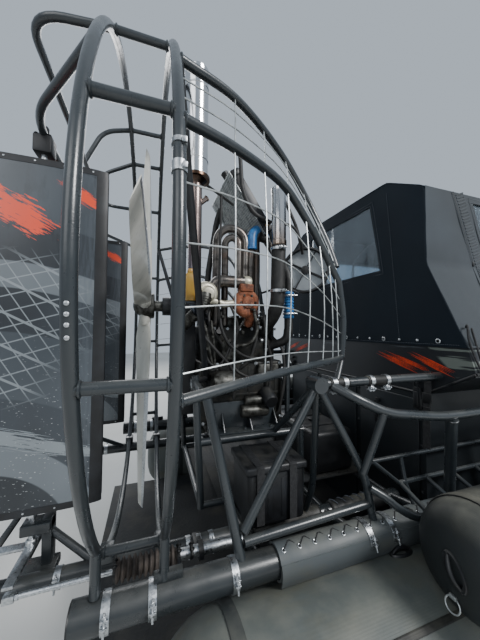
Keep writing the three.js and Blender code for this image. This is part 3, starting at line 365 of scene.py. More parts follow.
    # Cut vinyl film in orange, satin and lightly scratched
    orange = f["orange"] = Finish("orange_vinyl_film", "#c73d1c", 0.4)
    orange.tint("#8f2c16", orange.between(orange.noise(0.03, 5.0, (1.0, 3.0, 0.6)), 0.5, 0.72))
    orange.rough(orange.noise(0.02), 0.32, 0.5)

    # Black polyester webbing, ribbed across
    webbing = f["webbing"] = Finish("polyester_webbing_black", "#141517", 0.8)
    webbing.tint("#2c2d2f", webbing.between(webbing.noise(0.01), 0.4, 0.7))
    webbing.weave(0.004, 0.0006)


make_finishes()


# Shapes

AXES = {"x": (1, 0, 0), "y": (0, 1, 0), "z": (0, 0, 1)}


def square_to(along, spare):
    """Two directions square to along; spare is the helper where along is nearly upright."""
    helper = Vector((0, 0, 1)) if abs(along.z) < 0.9 else Vector(spare)
    across = along.cross(helper).normalized()
    return across, along.cross(across)


def circle(middle, across, other, radius, count):
    """Points around a circle, from across toward other."""
    turns = [2 * math.pi * k / count for k in range(count)]
    return [middle + (across * math.cos(a) + other * math.sin(a)) * radius for a in turns]


class Form:
    """Builds one piece's mesh from tubes, turned parts, bevelled blocks and sheets."""

    def __init__(self):
        self.mesh = bmesh.new()

    def skin(self, rings, closed_along=False):
        """Joins closed rings of points into a surface, with flat ends unless it runs back to its start."""
        rows = [[self.mesh.verts.new(p) for p in ring] for ring in rings]
        count = len(rows[0])
        steps = len(rows) if closed_along else len(rows) - 1
        for k in range(steps):
            here, after = rows[k], rows[(k + 1) % len(rows)]
            for i in range(count):
                j = (i + 1) % count
                self.mesh.faces.new((here[i], here[j], after[j], after[i]))
        if not closed_along:
            self.mesh.faces.new(rows[0][::-1])
            self.mesh.faces.new(rows[-1])
        return self

    def tube(self, points, radius, sides=14, closed=False):
        """A round tube along points; radius may be one value or one for each point."""
        points = [Vector(p) for p in points]
        last = len(points) - 1
        radii = radius if hasattr(radius, "__len__") else [radius] * len(points)
        rings = []
        across = None
        for i, p in enumerate(points):
            before = points[i - 1] if i or closed else p
            after = points[(i + 1) % len(points)] if i < last or closed else p
            along = (after - before).normalized()
            if across is None:
                across, _ = square_to(along, (0, 1, 0))
            else:
                across = (across - along * across.dot(along)).normalized()
            rings.append(circle(p, across, along.cross(across), radii[i], sides))
        return self.skin(rings, closed_along=closed)

    def turned(self, profile, centre, axis="z", sides=24):
        """A turned part from (radius, along) pairs; the profile's ends are closed flat."""
        centre = Vector(centre)
        along = Vector(AXES[axis] if isinstance(axis, str) else axis).normalized()
        across, other = square_to(along, (1, 0, 0))
        rings = [circle(centre + along * step, across, other, radius, sides) for radius, step in profile]
        return self.skin(rings)

    def loop(self, centre, axis, radius, thick, sides=12, around=96):
        """A round hoop of tube."""
        centre, axis = Vector(centre), Vector(axis).normalized()
        across, other = square_to(axis, (1, 0, 0))
        return self.tube(circle(centre, across, other, radius, around), thick, sides, closed=True)

    def block(self, low, high, bevel=0.004, turn=None, segments=2):
        """A block with rounded edges, turned about its middle by a matrix if one is given."""
        low, high = Vector(low), Vector(high)
        made = bmesh.new()
        bmesh.ops.create_cube(made, size=1.0)
        size = high - low
        bmesh.ops.scale(made, vec=size, verts=made.verts)
        limit = min(size) * 0.45
        bmesh.ops.bevel(
            made, geom=list(made.edges), offset=min(bevel, limit), segments=segments, affect="EDGES",
            profile=0.5,
        )
        if turn is not None:
            bmesh.ops.transform(made, matrix=turn.to_4x4(), verts=made.verts)
        bmesh.ops.translate(made, vec=(low + high) / 2, verts=made.verts)
        return self.join(made)

    def plate(self, outline, low, high, axis="y", bevel=0.002):
        """A flat plate from an outline of two numbers a point, standing from low to high along axis."""
        order = {"x": (1, 2, 0), "y": (0, 2, 1), "z": (0, 1, 2)}[axis]
        made = bmesh.new()
        rows = []
        for level in (low, high):
            row = []
            for a, b in outline:
                p = [0.0, 0.0, 0.0]
                p[order[0]], p[order[1]], p[order[2]] = a, b, level
                row.append(made.verts.new(p))
            rows.append(row)
        count = len(outline)
        made.faces.new(rows[0][::-1])
        made.faces.new(rows[1])
        for i in range(count):
            j = (i + 1) % count
            made.faces.new((rows[0][i], rows[0][j], rows[1][j], rows[1][i]))
        bmesh.ops.recalc_face_normals(made, faces=made.faces)
        if bevel:
            bmesh.ops.bevel(made, geom=list(made.edges), offset=bevel, segments=2, affect="EDGES",
                profile=0.5)
        return self.join(made)

    def bolt(self, centre, axis, radius=0.008, head=0.006, washer=True):
        """A hexagon head on a washer, seen from the side that axis points to."""
        axis = Vector(axis).normalized()
        base = Vector(centre)
        if washer:
            self.turned([(radius * 1.5, 0), (radius * 1.5, 0.0016)], base, axis, 16)
            base = base + axis * 0.0016
        return self.turned([(radius, 0), (radius, head * 0.8), (radius * 0.86, head)], base, axis, 6)

    def join(self, other):
        """Takes over another bmesh."""
        link = {v: self.mesh.verts.new(v.co) for v in other.verts}
        for face in other.faces:
            self.mesh.faces.new([link[v] for v in face.verts])
        other.free()
        return self

    def both_sides(self):
        """Adds the mirror image about the centreline."""
        link = {v: self.mesh.verts.new((v.co.x, -v.co.y, v.co.z)) for v in list(self.mesh.verts)}
        for face in list(self.mesh.faces):
            self.mesh.faces.new([link[v] for v in reversed(face.verts)])
        return self

    def turn(self, matrix, pivot):
        """Turns everything so far about a point."""
        bmesh.ops.rotate(self.mesh, cent=Vector(pivot), matrix=matrix, verts=self.mesh.verts)
        return self

    def piece(self, name, finish, body="hull", stands_for=(), slot=None, sharp=35, shift=MIDDLE):
        """Makes the object, moves it into the craft's frame and lets it ride on its body."""
        bmesh.ops.recalc_face_normals(self.mesh, faces=self.mesh.faces)
        data = bpy.data.meshes.new(name)
        self.mesh.to_mesh(data)
        self.mesh.free()
        data.transform(Matrix.Translation(shift))
        data.polygons.foreach_set("use_smooth", [True] * len(data.polygons))
        data.set_sharp_from_angle(angle=math.radians(sharp))
        data.materials.append(FINISH[finish].material)
        made = bpy.data.objects.new(name, data)
        bpy.context.scene.collection.objects.link(made)
        if stands_for:
            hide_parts(*([stands_for] if isinstance(stands_for, str) else stands_for))
        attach(made, body)
        return made


def bent(points, radius, steps=8):
    """Rounds the corners of a line, as a tube bender does."""
    points = [Vector(p) for p in points]
    out = [points[0]]
    for i in range(1, len(points) - 1):
        back, ahead = points[i - 1] - points[i], points[i + 1] - points[i]
        reach = min(radius, back.length * 0.45, ahead.length * 0.45)
        start, end = points[i] + back.normalized() * reach, points[i] + ahead.normalized() * reach
        for k in range(steps + 1):
            t = k / steps
            out.append(start * (1 - t) ** 2 + points[i] * 2 * t * (1 - t) + end * t * t)
    out.append(points[-1])
    return out


def smooth(points, steps):
    """A smooth line through points, in about equal steps."""
    points = [Vector(p) for p in points]
    ends = [points[0] * 2 - points[1]] + points + [points[-1] * 2 - points[-2]]
    fine = []
    for i in range(1, len(ends) - 2):
        a, b, c, d = ends[i - 1:i + 3]
        for k in range(24):
            t = k / 24
            p = b * 2 + (c - a) * t + (a * 2 - b * 5 + c * 4 - d) * t * t + (b * 3 - a - c * 3 + d) * t ** 3
            fine.append(p / 2)
    fine.append(points[-1])
    lengths = [0.0]
    for one, two in zip(fine, fine[1:]):
        lengths.append(lengths[-1] + (two - one).length)
    out, j = [], 0
    for k in range(steps + 1):
        goal = lengths[-1] * k / steps
        while j < len(fine) - 2 and lengths[j + 1] < goal:
            j += 1
        span = lengths[j + 1] - lengths[j]
        out.append(fine[j].lerp(fine[j + 1], (goal - lengths[j]) / span if span else 0))
    return out


def flip(points, sign):
    """The same line on the starboard (-1) or port (1) side; it is written for starboard."""
    return [Vector((p[0], p[1] * -sign, p[2])) for p in points]


BEND, PIPE_SIDES = 0.05, 14


def pipes(table):
    """Tubes from rows of points, radius, bend radius and sides; the last two may be left out."""
    form = Form()
    for points, radius, *more in table:
        bend, sides = (*more, *(BEND, PIPE_SIDES)[len(more):])
        form.tube(bent(points, bend) if len(points) > 2 else points, radius, sides)
    return form


def weld(form, point, axis, radius):
    """A weld bead around the foot of a tube."""
    return form.loop(point, axis, radius, 0.0035, sides=6, around=20)


SIDES = (("starboard", -1), ("port", 1))

# Propeller cage
HOOP_R, HOOP_Z, HOOP_AFT = 1.05, 1.6, -0.183
HOOP_TUBE, CAGE_TUBE, WIRE = 0.014, 0.013, 0.0021
WELD_OUT, WELD_R = 0.0145, 0.0135
STRUTS = (18, 50, 70, 84, 130, 162, 194, 230, 310, 346)


def on_hoop(x, degrees):
    angle = math.radians(degrees)
    return Vector((x, HOOP_R * math.cos(angle), HOOP_Z + HOOP_R * math.sin(angle)))


def make_cage():
    hoops = Form()
    for x in (0.0, HOOP_AFT):
        hoops.loop((x, 0, HOOP_Z), (1, 0, 0), HOOP_R, HOOP_TUBE, sides=16, around=120)
    struts = Form()
    for degrees in STRUTS:
        aft, fore = on_hoop(HOOP_AFT, degrees), on_hoop(0.0, degrees)
        struts.tube([aft, fore], CAGE_TUBE)
        weld(struts, aft + Vector((WELD_OUT, 0, 0)), (1, 0, 0), WELD_R)
        weld(struts, fore - Vector((WELD_OUT, 0, 0)), (1, 0, 0), WELD_R)
    loop = [(HOOP_AFT, -0.675, 2.404), (-0.42, -0.65, 2.4), (-0.42, 0.65, 2.4), (HOOP_AFT, 0.675, 2.404)]
    arm = [(-0.42, 0.1, 2.4), (-0.33, 0.105, 2.6), (HOOP_AFT, 0.11, 2.644)]
    post = [(-0.43, 0.44, 2.18), (-0.43, 0.44, 2.5), (HOOP_AFT, 0.359, 2.587)]
    bow = [(HOOP_AFT, -0.885, 2.16), (-0.43, -0.54, 2.16), (-0.43, 0.54, 2.16), (HOOP_AFT, 0.885, 2.16)]
    top = pipes([
        (loop, CAGE_TUBE, 0.11), (arm, CAGE_TUBE, 0.09),
        (post, CAGE_TUBE, 0.13), (bow, CAGE_TUBE, 0.11),
    ])
    feet = Form()
    for x in (0.0, HOOP_AFT):
        feet.tube([(x, -0.73, 0.724), (x, -0.73, 0.846)], 0.0145)
        feet.block((x - 0.024, -0.54, 0.652), (x + 0.024, -0.48, 0.692), 0.006)
    feet.both_sides()
    bearings = Form()
    for sign in (-1, 1):
        y = 0.44 * sign
        bearings.block((-0.46, y - 0.028, 2.087), (-0.4, y + 0.028, 2.152), 0.006)
        bearings.turned([(0.013, 2.15), (0.013, 2.188), (0.009, 2.195), (0.001, 2.196)], (-0.43, y, 0))
        bearings.turned([(0.02, 2.152), (0.02, 2.163), (0.016, 2.166)], (-0.43, y, 0))
        for x in (-0.45, -0.41):
            bearings.bolt((x, y - 0.02, 2.152), (0, 0, 1), 0.005, 0.004)
    hoops.piece("cage_hoops", "paint", stands_for=("cage_hoop_fore", "cage_hoop_aft"), slot="frame_paint")
    struts.piece("cage_struts", "paint", slot="frame_paint")
    top.piece("cage_loop_and_bow", "paint", stands_for="cage_top_tubes", slot="frame_paint")
    feet.piece("cage_feet", "paint", slot="frame_paint")
    bearings.piece("rudder_top_bearings", "plastic", slot="black_plastic")

    rivets = Form()
    for degrees in (185.6, 186.6, 187.6, 188.8):
        p = on_hoop(HOOP_AFT, degrees)
        rivets.turned([(0.0045, 0.0), (0.0042, 0.0022), (0.002, 0.0034)], p + Vector((0, -0.0135, 0)),
            (0, -1, 0), 12)
    bands = Form()
    for degrees, half in ((167.0, 0.006), (170.3, 0.012)):
        p = on_hoop(0.0, degrees)
        along = on_hoop(0.0, degrees + 1) - on_hoop(0.0, degrees - 1)
        rim = [(0.014, -half), (0.0162, -half), (0.0162, half), (0.014, half)]
        bands.turned(rim, p, along, 28)
        bands.block(p + Vector((0.004, -0.0205, -0.006)), p + Vector((0.014, -0.0135, 0.006)), 0.001)
    rivets.piece("cage_rivets", "zinc", slot="zinc")
    bands.piece("cage_hose_bands", "zinc", slot="zinc")


def clamp_band(form, centre, along, ear, radius, width=0.02):
    """A pressed steel clamp: a band around a tube with two ears and a cross bolt on the side of ear."""
    centre, along, ear = Vector(centre), Vector(along).normalized(), Vector(ear)
    ear = (ear - along * ear.dot(along)).normalized()
    side = along.cross(ear)
    half = width / 2
    form.turned([(radius, -half), (radius + 0.0022, -half), (radius + 0.0022, half), (radius, half)], centre,
        along, 24)
    turn = Matrix((along, side, ear)).transposed()
    for offset in (-0.007, 0.007):
        middle = centre + ear * (radius + 0.009) + side * offset
        low = middle - Vector((half * 0.8, 0.0012, 0.01))
        high = middle + Vector((half * 0.8, 0.0012, 0.01))
        form.block(low, high, 0.001, turn)
    middle = centre + ear * (radius + 0.011)
    form.tube([middle - side * 0.022, middle + side * 0.03], 0.0032, 8)
    form.bolt(middle - side * 0.008, -side, 0.0062, 0.005)
    form.bolt(middle + side * 0.008, side, 0.0062, 0.006)
    return form


make_cage()

# Guard baskets: a low, a middle and a high curve with a grid of wire between them
LOW = [(0, -1.008, 1.306), (0.18, -0.93, 1.322), (0.42, -0.8, 1.332), (0.64, -0.69, 1.338),
    (0.7, -0.655, 1.345)]
MID = [(0, -1.003, 1.91), (0.17, -0.905, 1.935), (0.35, -0.8, 1.935), (0.48, -0.73, 1.87),
    (0.6, -0.675, 1.77), (0.69, -0.655, 1.65)]
HIGH = [(0, -0.888, 2.16), (0.2, -0.79, 2.18), (0.42, -0.65, 2.15), (0.59, -0.57, 2.03), (0.672, -0.6, 1.84),
    (0.688, -0.64, 1.72)]


def make_baskets():
    low, mid, high = smooth(LOW, 60), smooth(MID, 60), smooth(HIGH, 60)
    for side, sign in SIDES:
        frame_tubes = Form()
        for line, radius in ((low, 0.013), (mid, 0.0135), (high, 0.013)):
            frame_tubes.tube(flip(line[::2], sign), radius)
        front = bent([MID[-1], (0.712, -0.655, 1.5), (0.7, -0.655, 1.345)], 0.06)
        frame_tubes.tube(flip(front, sign), 0.013)
        frame_tubes.tube(flip([(0.7, -0.655, 1.338), (0.64, -0.7, 1.262)], sign), 0.011)
        for line in (low, mid, high):
            weld(frame_tubes, flip([line[0] + Vector((0.0145, 0.006, 0))], sign)[0], (1, 0, 0), 0.0137)
        frame_tubes.piece(f"basket_tubes_{side}", "paint", stands_for=f"guard_basket_{side}",
            slot="frame_paint")
        wires = Form()

        def on_net(i, t, upper, lower, swell):
            push = swell * math.sin(math.pi * t) * min(1.0, i / 24, (60 - i) / 14)
            return lower[i].lerp(upper[i], t) + Vector((0.0, -push, 0.0))

        for i in (12, 21, 30, 39, 47, 53, 57):
            wires.tube(flip([on_net(i, k / 12, mid, low, 0.022) for k in range(13)], sign), WIRE, 6)
            wires.tube(flip([on_net(i, k / 6, high, mid, 0.01) for k in range(7)], sign), WIRE, 6)
        for t in (0.09, 0.32, 0.55, 0.77):
            wires.tube(flip([on_net(i, t, mid, low, 0.022) for i in range(0, 61, 3)], sign), WIRE, 6)
        for t in (0.33, 0.66):
            wires.tube(flip([on_net(i, t, high, mid, 0.01) for i in range(0, 61, 3)], sign), WIRE, 6)
        wires.piece(f"basket_wires_{side}", "wire", slot="frame_paint")


make_baskets()

# Outer rails, engine bed and engine frame
RAIL_Y, RAIL_Z, BED_Y, BED_Z = 0.73, 0.676, 0.5, 0.62
NODE = Vector((0.55, -0.7, 1.25))


def make_frames():
    rails = Form()
    rails.tube([(-0.238, -RAIL_Y, RAIL_Z), (3.9, -RAIL_Y, RAIL_Z)], 0.0445, 28)
    rails.block((-0.03, -RAIL_Y - 0.012, RAIL_Z + 0.04), (0.055, -RAIL_Y + 0.012, RAIL_Z + 0.068), 0.004)
    rails.both_sides()
    rails.piece("outer_rails", "bed_paint", stands_for=("rail_outer_starboard", "rail_outer_port"),
        slot="frame_paint")

    bed = Form()
    for sign in (-1, 1):
        bed.tube(flip([(-0.52, -BED_Y, BED_Z), (1.15, -BED_Y, BED_Z)], sign), 0.03, 22)
        y = 0.426 * sign
        bed.block((-0.398, y - 0.026, 0.6), (-0.368, y + 0.026, 0.79), 0.003)
        y = 0.44 * sign
        bed.block((-0.457, y - 0.03, 0.752), (-0.368, y + 0.03, 0.788), 0.004)
        y = 0.445 * sign
        bed.block((-0.485, y - 0.045, 0.605), (-0.35, y + 0.045, 0.635), 0.004)
        bed.tube(flip([(-0.2, -BED_Y, BED_Z), (-0.38, -0.425, 0.74)], sign), 0.013)
    bed.tube([(-0.47, -BED_Y, BED_Z), (-0.47, BED_Y, BED_Z)], 0.02, 16)
    for x in (0.33, 0.72, 1.11):
        line = [(x, -0.715, 0.668), (x, -BED_Y, BED_Z), (x, BED_Y, BED_Z), (x, 0.715, 0.668)]
        bed.tube(bent(line, 0.06), 0.02, 16)
    bed.piece("engine_bed_tubes", "bed_paint", stands_for="engine_bed", slot="frame_paint")

    truss = []
    rows = [
        ([(0.25, -0.73, 0.765), (0.77, -0.73, 0.79)], 0.015),
        ([(0.24, -0.73, 0.71), (0.14, -0.64, 1.22)], 0.017),
        ([NODE, (0.25, -0.73, 0.8)], 0.015),
        ([NODE, (0.74, -0.73, 0.9), (0.78, -0.73, 0.716)], 0.015),
        ([NODE, (0.62, -0.56, 0.78), (0.62, -BED_Y, 0.645)], 0.014),
        ([(0.14, -0.64, 1.21), (0.15, -0.3, 1.21)], 0.015),
        ([NODE, (0.56, -0.3, 0.93)], 0.015),
        ([(0.15, -0.32, 1.24), (0.18, -0.33, 0.64)], 0.017),
        ([(0.7, -0.33, 0.94), (0.7, -0.33, 0.64)], 0.017),
        ([(0.15, -0.32, 0.93), (0.72, -0.32, 0.93)], 0.018),
        ([(0.18, -0.33, 0.65), (0.7, -0.33, 0.65)], 0.014),
        ([NODE, (1.1995, -0.7, 1.25)], 0.018),
    ]
    for points, radius in rows:
        for _, sign in SIDES:
            truss.append((flip(points, sign), radius, 0.06))
    truss.append(([(0.7, -0.33, 0.93), (0.7, 0.33, 0.93)], 0.015))
    truss.append(([(0.18, -0.33, 0.65), (0.18, 0.33, 0.65)], 0.014))
    form = pipes(truss)
    for _, sign in SIDES:
        form.turned([(0.03, -0.03), (0.031, 0.0), (0.03, 0.03)], flip([NODE], sign)[0], (0, 1, 0), 20)
    form.piece("engine_frame_tubes", "paint", stands_for="engine_frame", slot="frame_paint")
    # The stays are steel frame tubes given the black plastic finish: painted shade that makes them near
    # black.
    stays = Form()
    for _, sign in SIDES:
        stays.tube(flip([(0.218, -0.226, 1.212), (0.006, -0.885, 2.15)], sign), 0.0145, 16)
        stays.tube(flip([(0.145, -0.32, 1.21), (0.3, -0.125, 1.21)], sign), 0.015, 16)
    stays.piece("cage_stays_painted_shade", "plastic", slot="black_plastic")

    for side, sign in SIDES:
        line = [
            NODE + Vector((0.062, -0.008, -0.008)), (0.67, -0.765, 1.205), (0.78, -0.8, 1.15),
            (1.07, -0.8, 1.11), (1.9, -0.8, 1.11), (2.01, -0.78, 1.05), (2.04, -0.73, 0.732),
        ]
        rail = pipes([
            (flip(line, sign), 0.018, 0.09, 18),
            (flip([(1.12, -0.8, 1.11), (1.2, -0.73, 0.735)], sign), 0.021, BEND, 18),
            (flip([(1.54, -0.8, 1.11), (1.62, -0.73, 0.735)], sign), 0.021, BEND, 18),
            (flip([(0.765, -0.8, 1.15), (0.748, -0.77, 1.03), (0.722, -0.742, 0.915)], sign), 0.014, 0.1),
        ])
        for x in (1.12, 1.54):
            weld(rail, flip([(x + 0.004, -0.7965, 1.091)], sign)[0], (0.2, -0.17 * sign, -1), 0.0215)
        rail.piece(f"handrail_tubes_{side}", "paint", stands_for=f"handrail_{side}", slot="frame_paint")
        outer = smooth([
            (0.745, -0.752, 0.862), (0.79, -0.78, 0.834), (0.83, -0.8, 0.8), (0.9, -0.812, 0.762),
            (1.0, -0.815, 0.745),
        ], 24) + [Vector((1.88, -0.815, 0.745))]
        rack = Form().tube(flip(outer, sign), 0.014, 16)
        rack.tube(flip([(0.85, -0.655, 0.9), (0.975, -0.675, 0.8), (1.88, -0.675, 0.8)], sign), 0.01, 12)
        rack.tube(flip([(0.85, -0.655, 0.9), (1.88, -0.655, 0.9)], sign), 0.009, 12)
        for x in (0.98, 1.135, 1.295, 1.455, 1.7, 1.87):
            rack.tube(flip([(x, -0.675, 0.8), (x, -0.815, 0.745)], sign), 0.01, 12)
        for x in (1.01, 1.78):
            rack.tube(flip([(x, -0.655, 0.9), (x, -0.675, 0.8), (x, -0.713, 0.729)], sign), 0.009, 12)
        rack.piece(f"rack_tubes_{side}", "paint", stands_for=f"side_rack_{side}", slot="frame_paint")


make_frames()


# Inflated tubes: a straight run, a bow bend and a blunt tail cone
TUBE_Y, TUBE_Z, TUBE_R = 0.86, 0.38, 0.26
UPPER_Y, UPPER_Z, UPPER_R = 1.02, 0.773, 0.168


def bow_line(steps):
    """The bend of the main tube from the straight run to the middle of the bow."""
    a, b = Vector((3.9, -TUBE_Y, TUBE_Z)), Vector((4.95, -TUBE_Y, TUBE_Z))
    c, d = Vector((5.65, -TUBE_Y * 0.82, 0.56)), Vector((5.65, 0.0, 0.56))
    line = []
    for k in range(steps + 1):
        t = k / steps
        line.append(a * (1 - t) ** 3 + b * 3 * t * (1 - t) ** 2 + c * 3 * t * t * (1 - t) + d * t ** 3)
    return line


def make_hull():
    tail = [
        (-0.06, 0.012), (-0.059, 0.05), (-0.054, 0.09), (-0.042, 0.13), (-0.022, 0.162), (0.006, 0.19),
        (0.04, 0.216), (0.08, 0.238), (0.125, 0.251), (0.17, 0.257), (0.21, 0.26),
    ]
    straight = [0.3, 0.6, 0.9, 1.3, 1.8, 2.3, 2.8, 3.3, 3.7]
    for side, sign in SIDES:
        points = [(x, -TUBE_Y, TUBE_Z) for x, _ in tail] + [(x, -TUBE_Y, TUBE_Z) for x in straight]
        radii = [r for _, r in tail] + [TUBE_R] * len(straight)
        bend = bow_line(36)
        points += bend + [Vector((5.65, 0.06, 0.56))]
        radii += [TUBE_R] * (len(bend) + 1)
        tube = Form().tube(flip(points, sign), radii, 56)
        for v in tube.mesh.verts:
            if v.co.x > 4.0 and v.co.y * sign < 0.0006:
                v.co.y = 0.0006 * sign
        tube.piece(f"main_tube_{side}", "hull", stands_for=f"hull_tube_{side}", slot="pvc_grey", sharp=60)

        tapes = Form()
        for x in (0.185, 1.05, 2.0, 2.95, 3.8):
            rim = TUBE_R + 0.0004
            profile = [(rim - 0.0006, -0.02), (rim + 0.0014, -0.017), (rim + 0.0014, 0.017),
                (rim - 0.0006, 0.02)]
            tapes.turned(profile, (x, TUBE_Y * sign, TUBE_Z), "x", 64)
        tapes.piece(f"main_tube_tapes_{side}", "tape", slot="pvc_dark")

        strip = Form()
        for low_angle, high_angle in ((20, 26), (118, 122)):
            rings = []
            for k in range(49):
                x = 0.21 + (3.88 - 0.21) * k / 48
                ring = []
                for level in (0.0002, 0.0022):
                    steps = range(9) if level < 0.001 else range(8, -1, -1)
                    for j in steps:
                        a = math.radians(low_angle + (high_angle - low_angle) * j / 8)
                        r = TUBE_R + level - (0.0012 if j in (0, 8) and level > 0.001 else 0)
                        ring.append((x, sign * (TUBE_Y - r * math.cos(a)), TUBE_Z + r * math.sin(a)))
                rings.append(ring)
            strip.skin(rings)
        strip.piece(f"wear_strips_{side}", "bottom", slot="pvc_black", sharp=50)

        points = [(0.782, 0.02), (0.787, 0.06), (0.798, 0.1), (0.815, 0.13), (0.84, 0.15), (0.87, 0.161),
            (0.915, UPPER_R)]
        line = [(x, -UPPER_Y, UPPER_Z) for x, _ in points]
        line += [(x, -UPPER_Y, UPPER_Z) for x in (1.3, 1.7, 2.2, 2.8, 3.4, 3.8)]
        line += smooth([(3.9, -1.02, 0.773), (4.25, -1.005, 0.8), (4.7, -0.9, 0.85), (5.1, -0.69, 0.905),
            (5.33, -0.56, 0.93)], 24)
        radii = [r for _, r in points] + [UPPER_R] * (len(line) - len(points))
        upper = Form().tube(flip(line, sign), radii, 44)
        upper.piece(f"bolster_tube_{side}", "upper", stands_for=f"upper_tube_{side}", slot="pvc_dark",
            sharp=60)
        bands = Form()
        for x in (0.905, 1.9, 2.9, 3.75):
            rim = UPPER_R + 0.0004
            profile = [(rim - 0.0006, -0.018), (rim + 0.0014, -0.015), (rim + 0.0014, 0.015),
                (rim - 0.0006, 0.018)]
            bands.turned(profile, (x, UPPER_Y * sign, UPPER_Z), "x", 48)
        bands.piece(f"bolster_tapes_{side}", "bottom", slot="pvc_black")


def make_handle(name, centre, normal, along, length):
    """A moulded carrying handle: an oval base plate with a raised grip across a dished recess."""
    centre, normal, along = Vector(centre), Vector(normal).normalized(), Vector(along).normalized()
    across = normal.cross(along)
    form = Form()
    rings = []
    for grow, lift in ((1.0, -0.003), (1.0, 0.002), (0.94, 0.006), (0.74, 0.0065), (0.66, 0.001),
            (0.3, -0.001)):
        ring = []
        for k in range(40):
            a = 2 * math.pi * k / 40
            p = along * (math.cos(a) * length / 2 * grow) + across * (math.sin(a) * length * 0.27 * grow)
            ring.append(centre + p + normal * lift)
        rings.append(ring)
    form.skin(rings)
    grip = []
    for k in range(13):
        t = k / 12
        p = along * ((t - 0.5) * length * 0.78) + normal * (0.004 + 0.014 * math.sin(math.pi * t))
        grip.append(centre + p)
    form.tube(grip, [0.005 + 0.0025 * math.sin(math.pi * k / 12) for k in range(13)], 12)
    for end in (-0.43, 0.43):
        form.turned([(0.005, 0), (0.0045, 0.0025), (0.002, 0.0034)],
            centre + along * (end * length) + normal * 0.005, normal, 12)
    form.piece(name, "plastic", slot="black_plastic")


def on_tube(x, degrees, sign, y=TUBE_Y, z=TUBE_Z, r=TUBE_R):
    """A point on a tube and the direction out of it; degrees counts up from the outboard side."""
    a = math.radians(degrees)
    out = Vector((0.0, sign * math.cos(a), math.sin(a)))
    return Vector((x, sign * y, z)) + out * r, out


make_hull()
for side, sign in SIDES:
    spot, out = on_tube(0.845, 105, sign)
    make_handle(f"main_tube_handle_{side}", spot, out, (1, 0, 0), 0.1)
    make_handle(f"bolster_nose_handle_{side}", Vector((0.7835, sign * 1.02, 0.77)), Vector((-1, 0, 0)),
        (0, -0.5 * sign, 1), 0.1)
    spot, out = on_tube(2.6, 60, sign)
    make_handle(f"main_tube_handle_mid_{side}", spot, out, (1, 0, 0), 0.12)
    spot, out = on_tube(1.02, 62, sign, UPPER_Y, UPPER_Z, UPPER_R)
    make_handle(f"bolster_handle_{side}", spot, out, (1, 0, 0), 0.12)
    spot, out = on_tube(2.4, 62, sign, UPPER_Y, UPPER_Z, UPPER_R)
    make_handle(f"bolster_handle_mid_{side}", spot, out, (1, 0, 0), 0.12)


def make_nose_rings():
    """A towing ring hanging under the handle on each bolster's nose."""
    form = Form()
    for _, sign in SIDES:
        form.loop((0.7865, sign * 1.01, 0.668), (-1, 0, 0.25), 0.02, 0.0022, 10, 32)
        form.block((0.785, sign * 1.01 - 0.009, 0.683), (0.795, sign * 1.01 + 0.009, 0.695), 0.002)
    form.piece("bolster_nose_rings", "wire", slot="zinc")


make_nose_rings()


def make_valve(name, x, sign):
    """An inflation valve: a flush round seat with a knurled cap."""
    spot, out = on_tube(x, 88, sign)
    form = Form()
    form.turned([(0.034, -0.003), (0.034, 0.002), (0.03, 0.0045), (0.022, 0.005)], spot, out, 36)
    form.turned([(0.02, 0.004), (0.0205, 0.011), (0.018, 0.0135), (0.006, 0.0135)], spot, out, 16)
    form.piece(name, "plastic", slot="black_plastic")


for side, sign in SIDES:
    make_valve(f"inflation_valve_{side}", 2.2, sign)


# Distance between the eyelets that lace the sleeves down
PITCH = 0.06


def make_sleeves():
    """Coated fabric wrapped around each outer rail and laced down to the main tube."""
    start, end = 0.36, 3.88
    for side, sign in SIDES:
        form = Form()
        section = []
        for k in range(33):
            a = math.radians(-150 + 300 * k / 32)
            section.append((RAIL_Y + 0.054 * math.cos(a), RAIL_Z + 0.054 * math.sin(a)))
        rings = []
        for step in range(69):
            x = start + (end - start) * step / 68
            sag = 0.0016 * math.sin(x * 37.0)
            outer = [(x, -sign * -1 * y, z + sag * 0.4) for y, z in section]
            inner = []
            for y, z in reversed(section):
                pull = Vector((y - RAIL_Y, z - RAIL_Z)).normalized() * 0.0075
                inner.append((x, sign * (y - pull.x), z - pull.y))
            rings.append(outer + inner)
        form.skin(rings)
        flap = [(0.7795, 0.7), (0.7855, 0.684), (0.7865, 0.664), (0.783, 0.645), (0.778, 0.6285)]
        rings = []
        for step in range(137):
            x = start + (end - start) * step / 136
            lift = 0.0016 * (0.5 + 0.5 * math.cos(x * 2 * math.pi / PITCH))
            face = [(x, sign * (y + lift), z) for y, z in flap]
            back = [(x, sign * (y - 0.004), z) for y, z in reversed(flap)]
            rings.append(face + back)
        form.skin(rings)
        form.piece(f"laced_sleeve_{side}", "sleeve", stands_for=f"rail_sleeve_{side}", slot="pvc_dark",
            sharp=50)

        eyelets, cord = Form(), []
        low, high = math.radians(64), math.radians(92)
        for k in range(int((end - start - 0.06) / PITCH)):
            x = start + 0.02 + k * PITCH
            out = Vector((0, sign * math.cos(low), math.sin(low)))
            top = Vector((0, sign * math.cos(high), math.sin(high)))
            axis = Vector((0, sign * RAIL_Y, RAIL_Z))
            spot = Vector((x, 0, 0)) + axis + out * 0.0548
            near = Vector((x + PITCH / 2, 0, 0)) + axis + top * 0.0555
            eyelets.loop(spot, out, 0.0062, 0.0018, 8, 16)
            cord += [spot - out * 0.003, spot + out * 0.003, near, near + Vector((0.006, 0, 0))]
        eyelets.piece(f"lacing_eyelets_{side}", "zinc", slot="zinc")
        lace = Form().tube(bent(cord, 0.01, 2), 0.002, 7)
        lace.piece(f"sleeve_lacing_{side}", "webbing", slot="pvc_black")


make_sleeves()


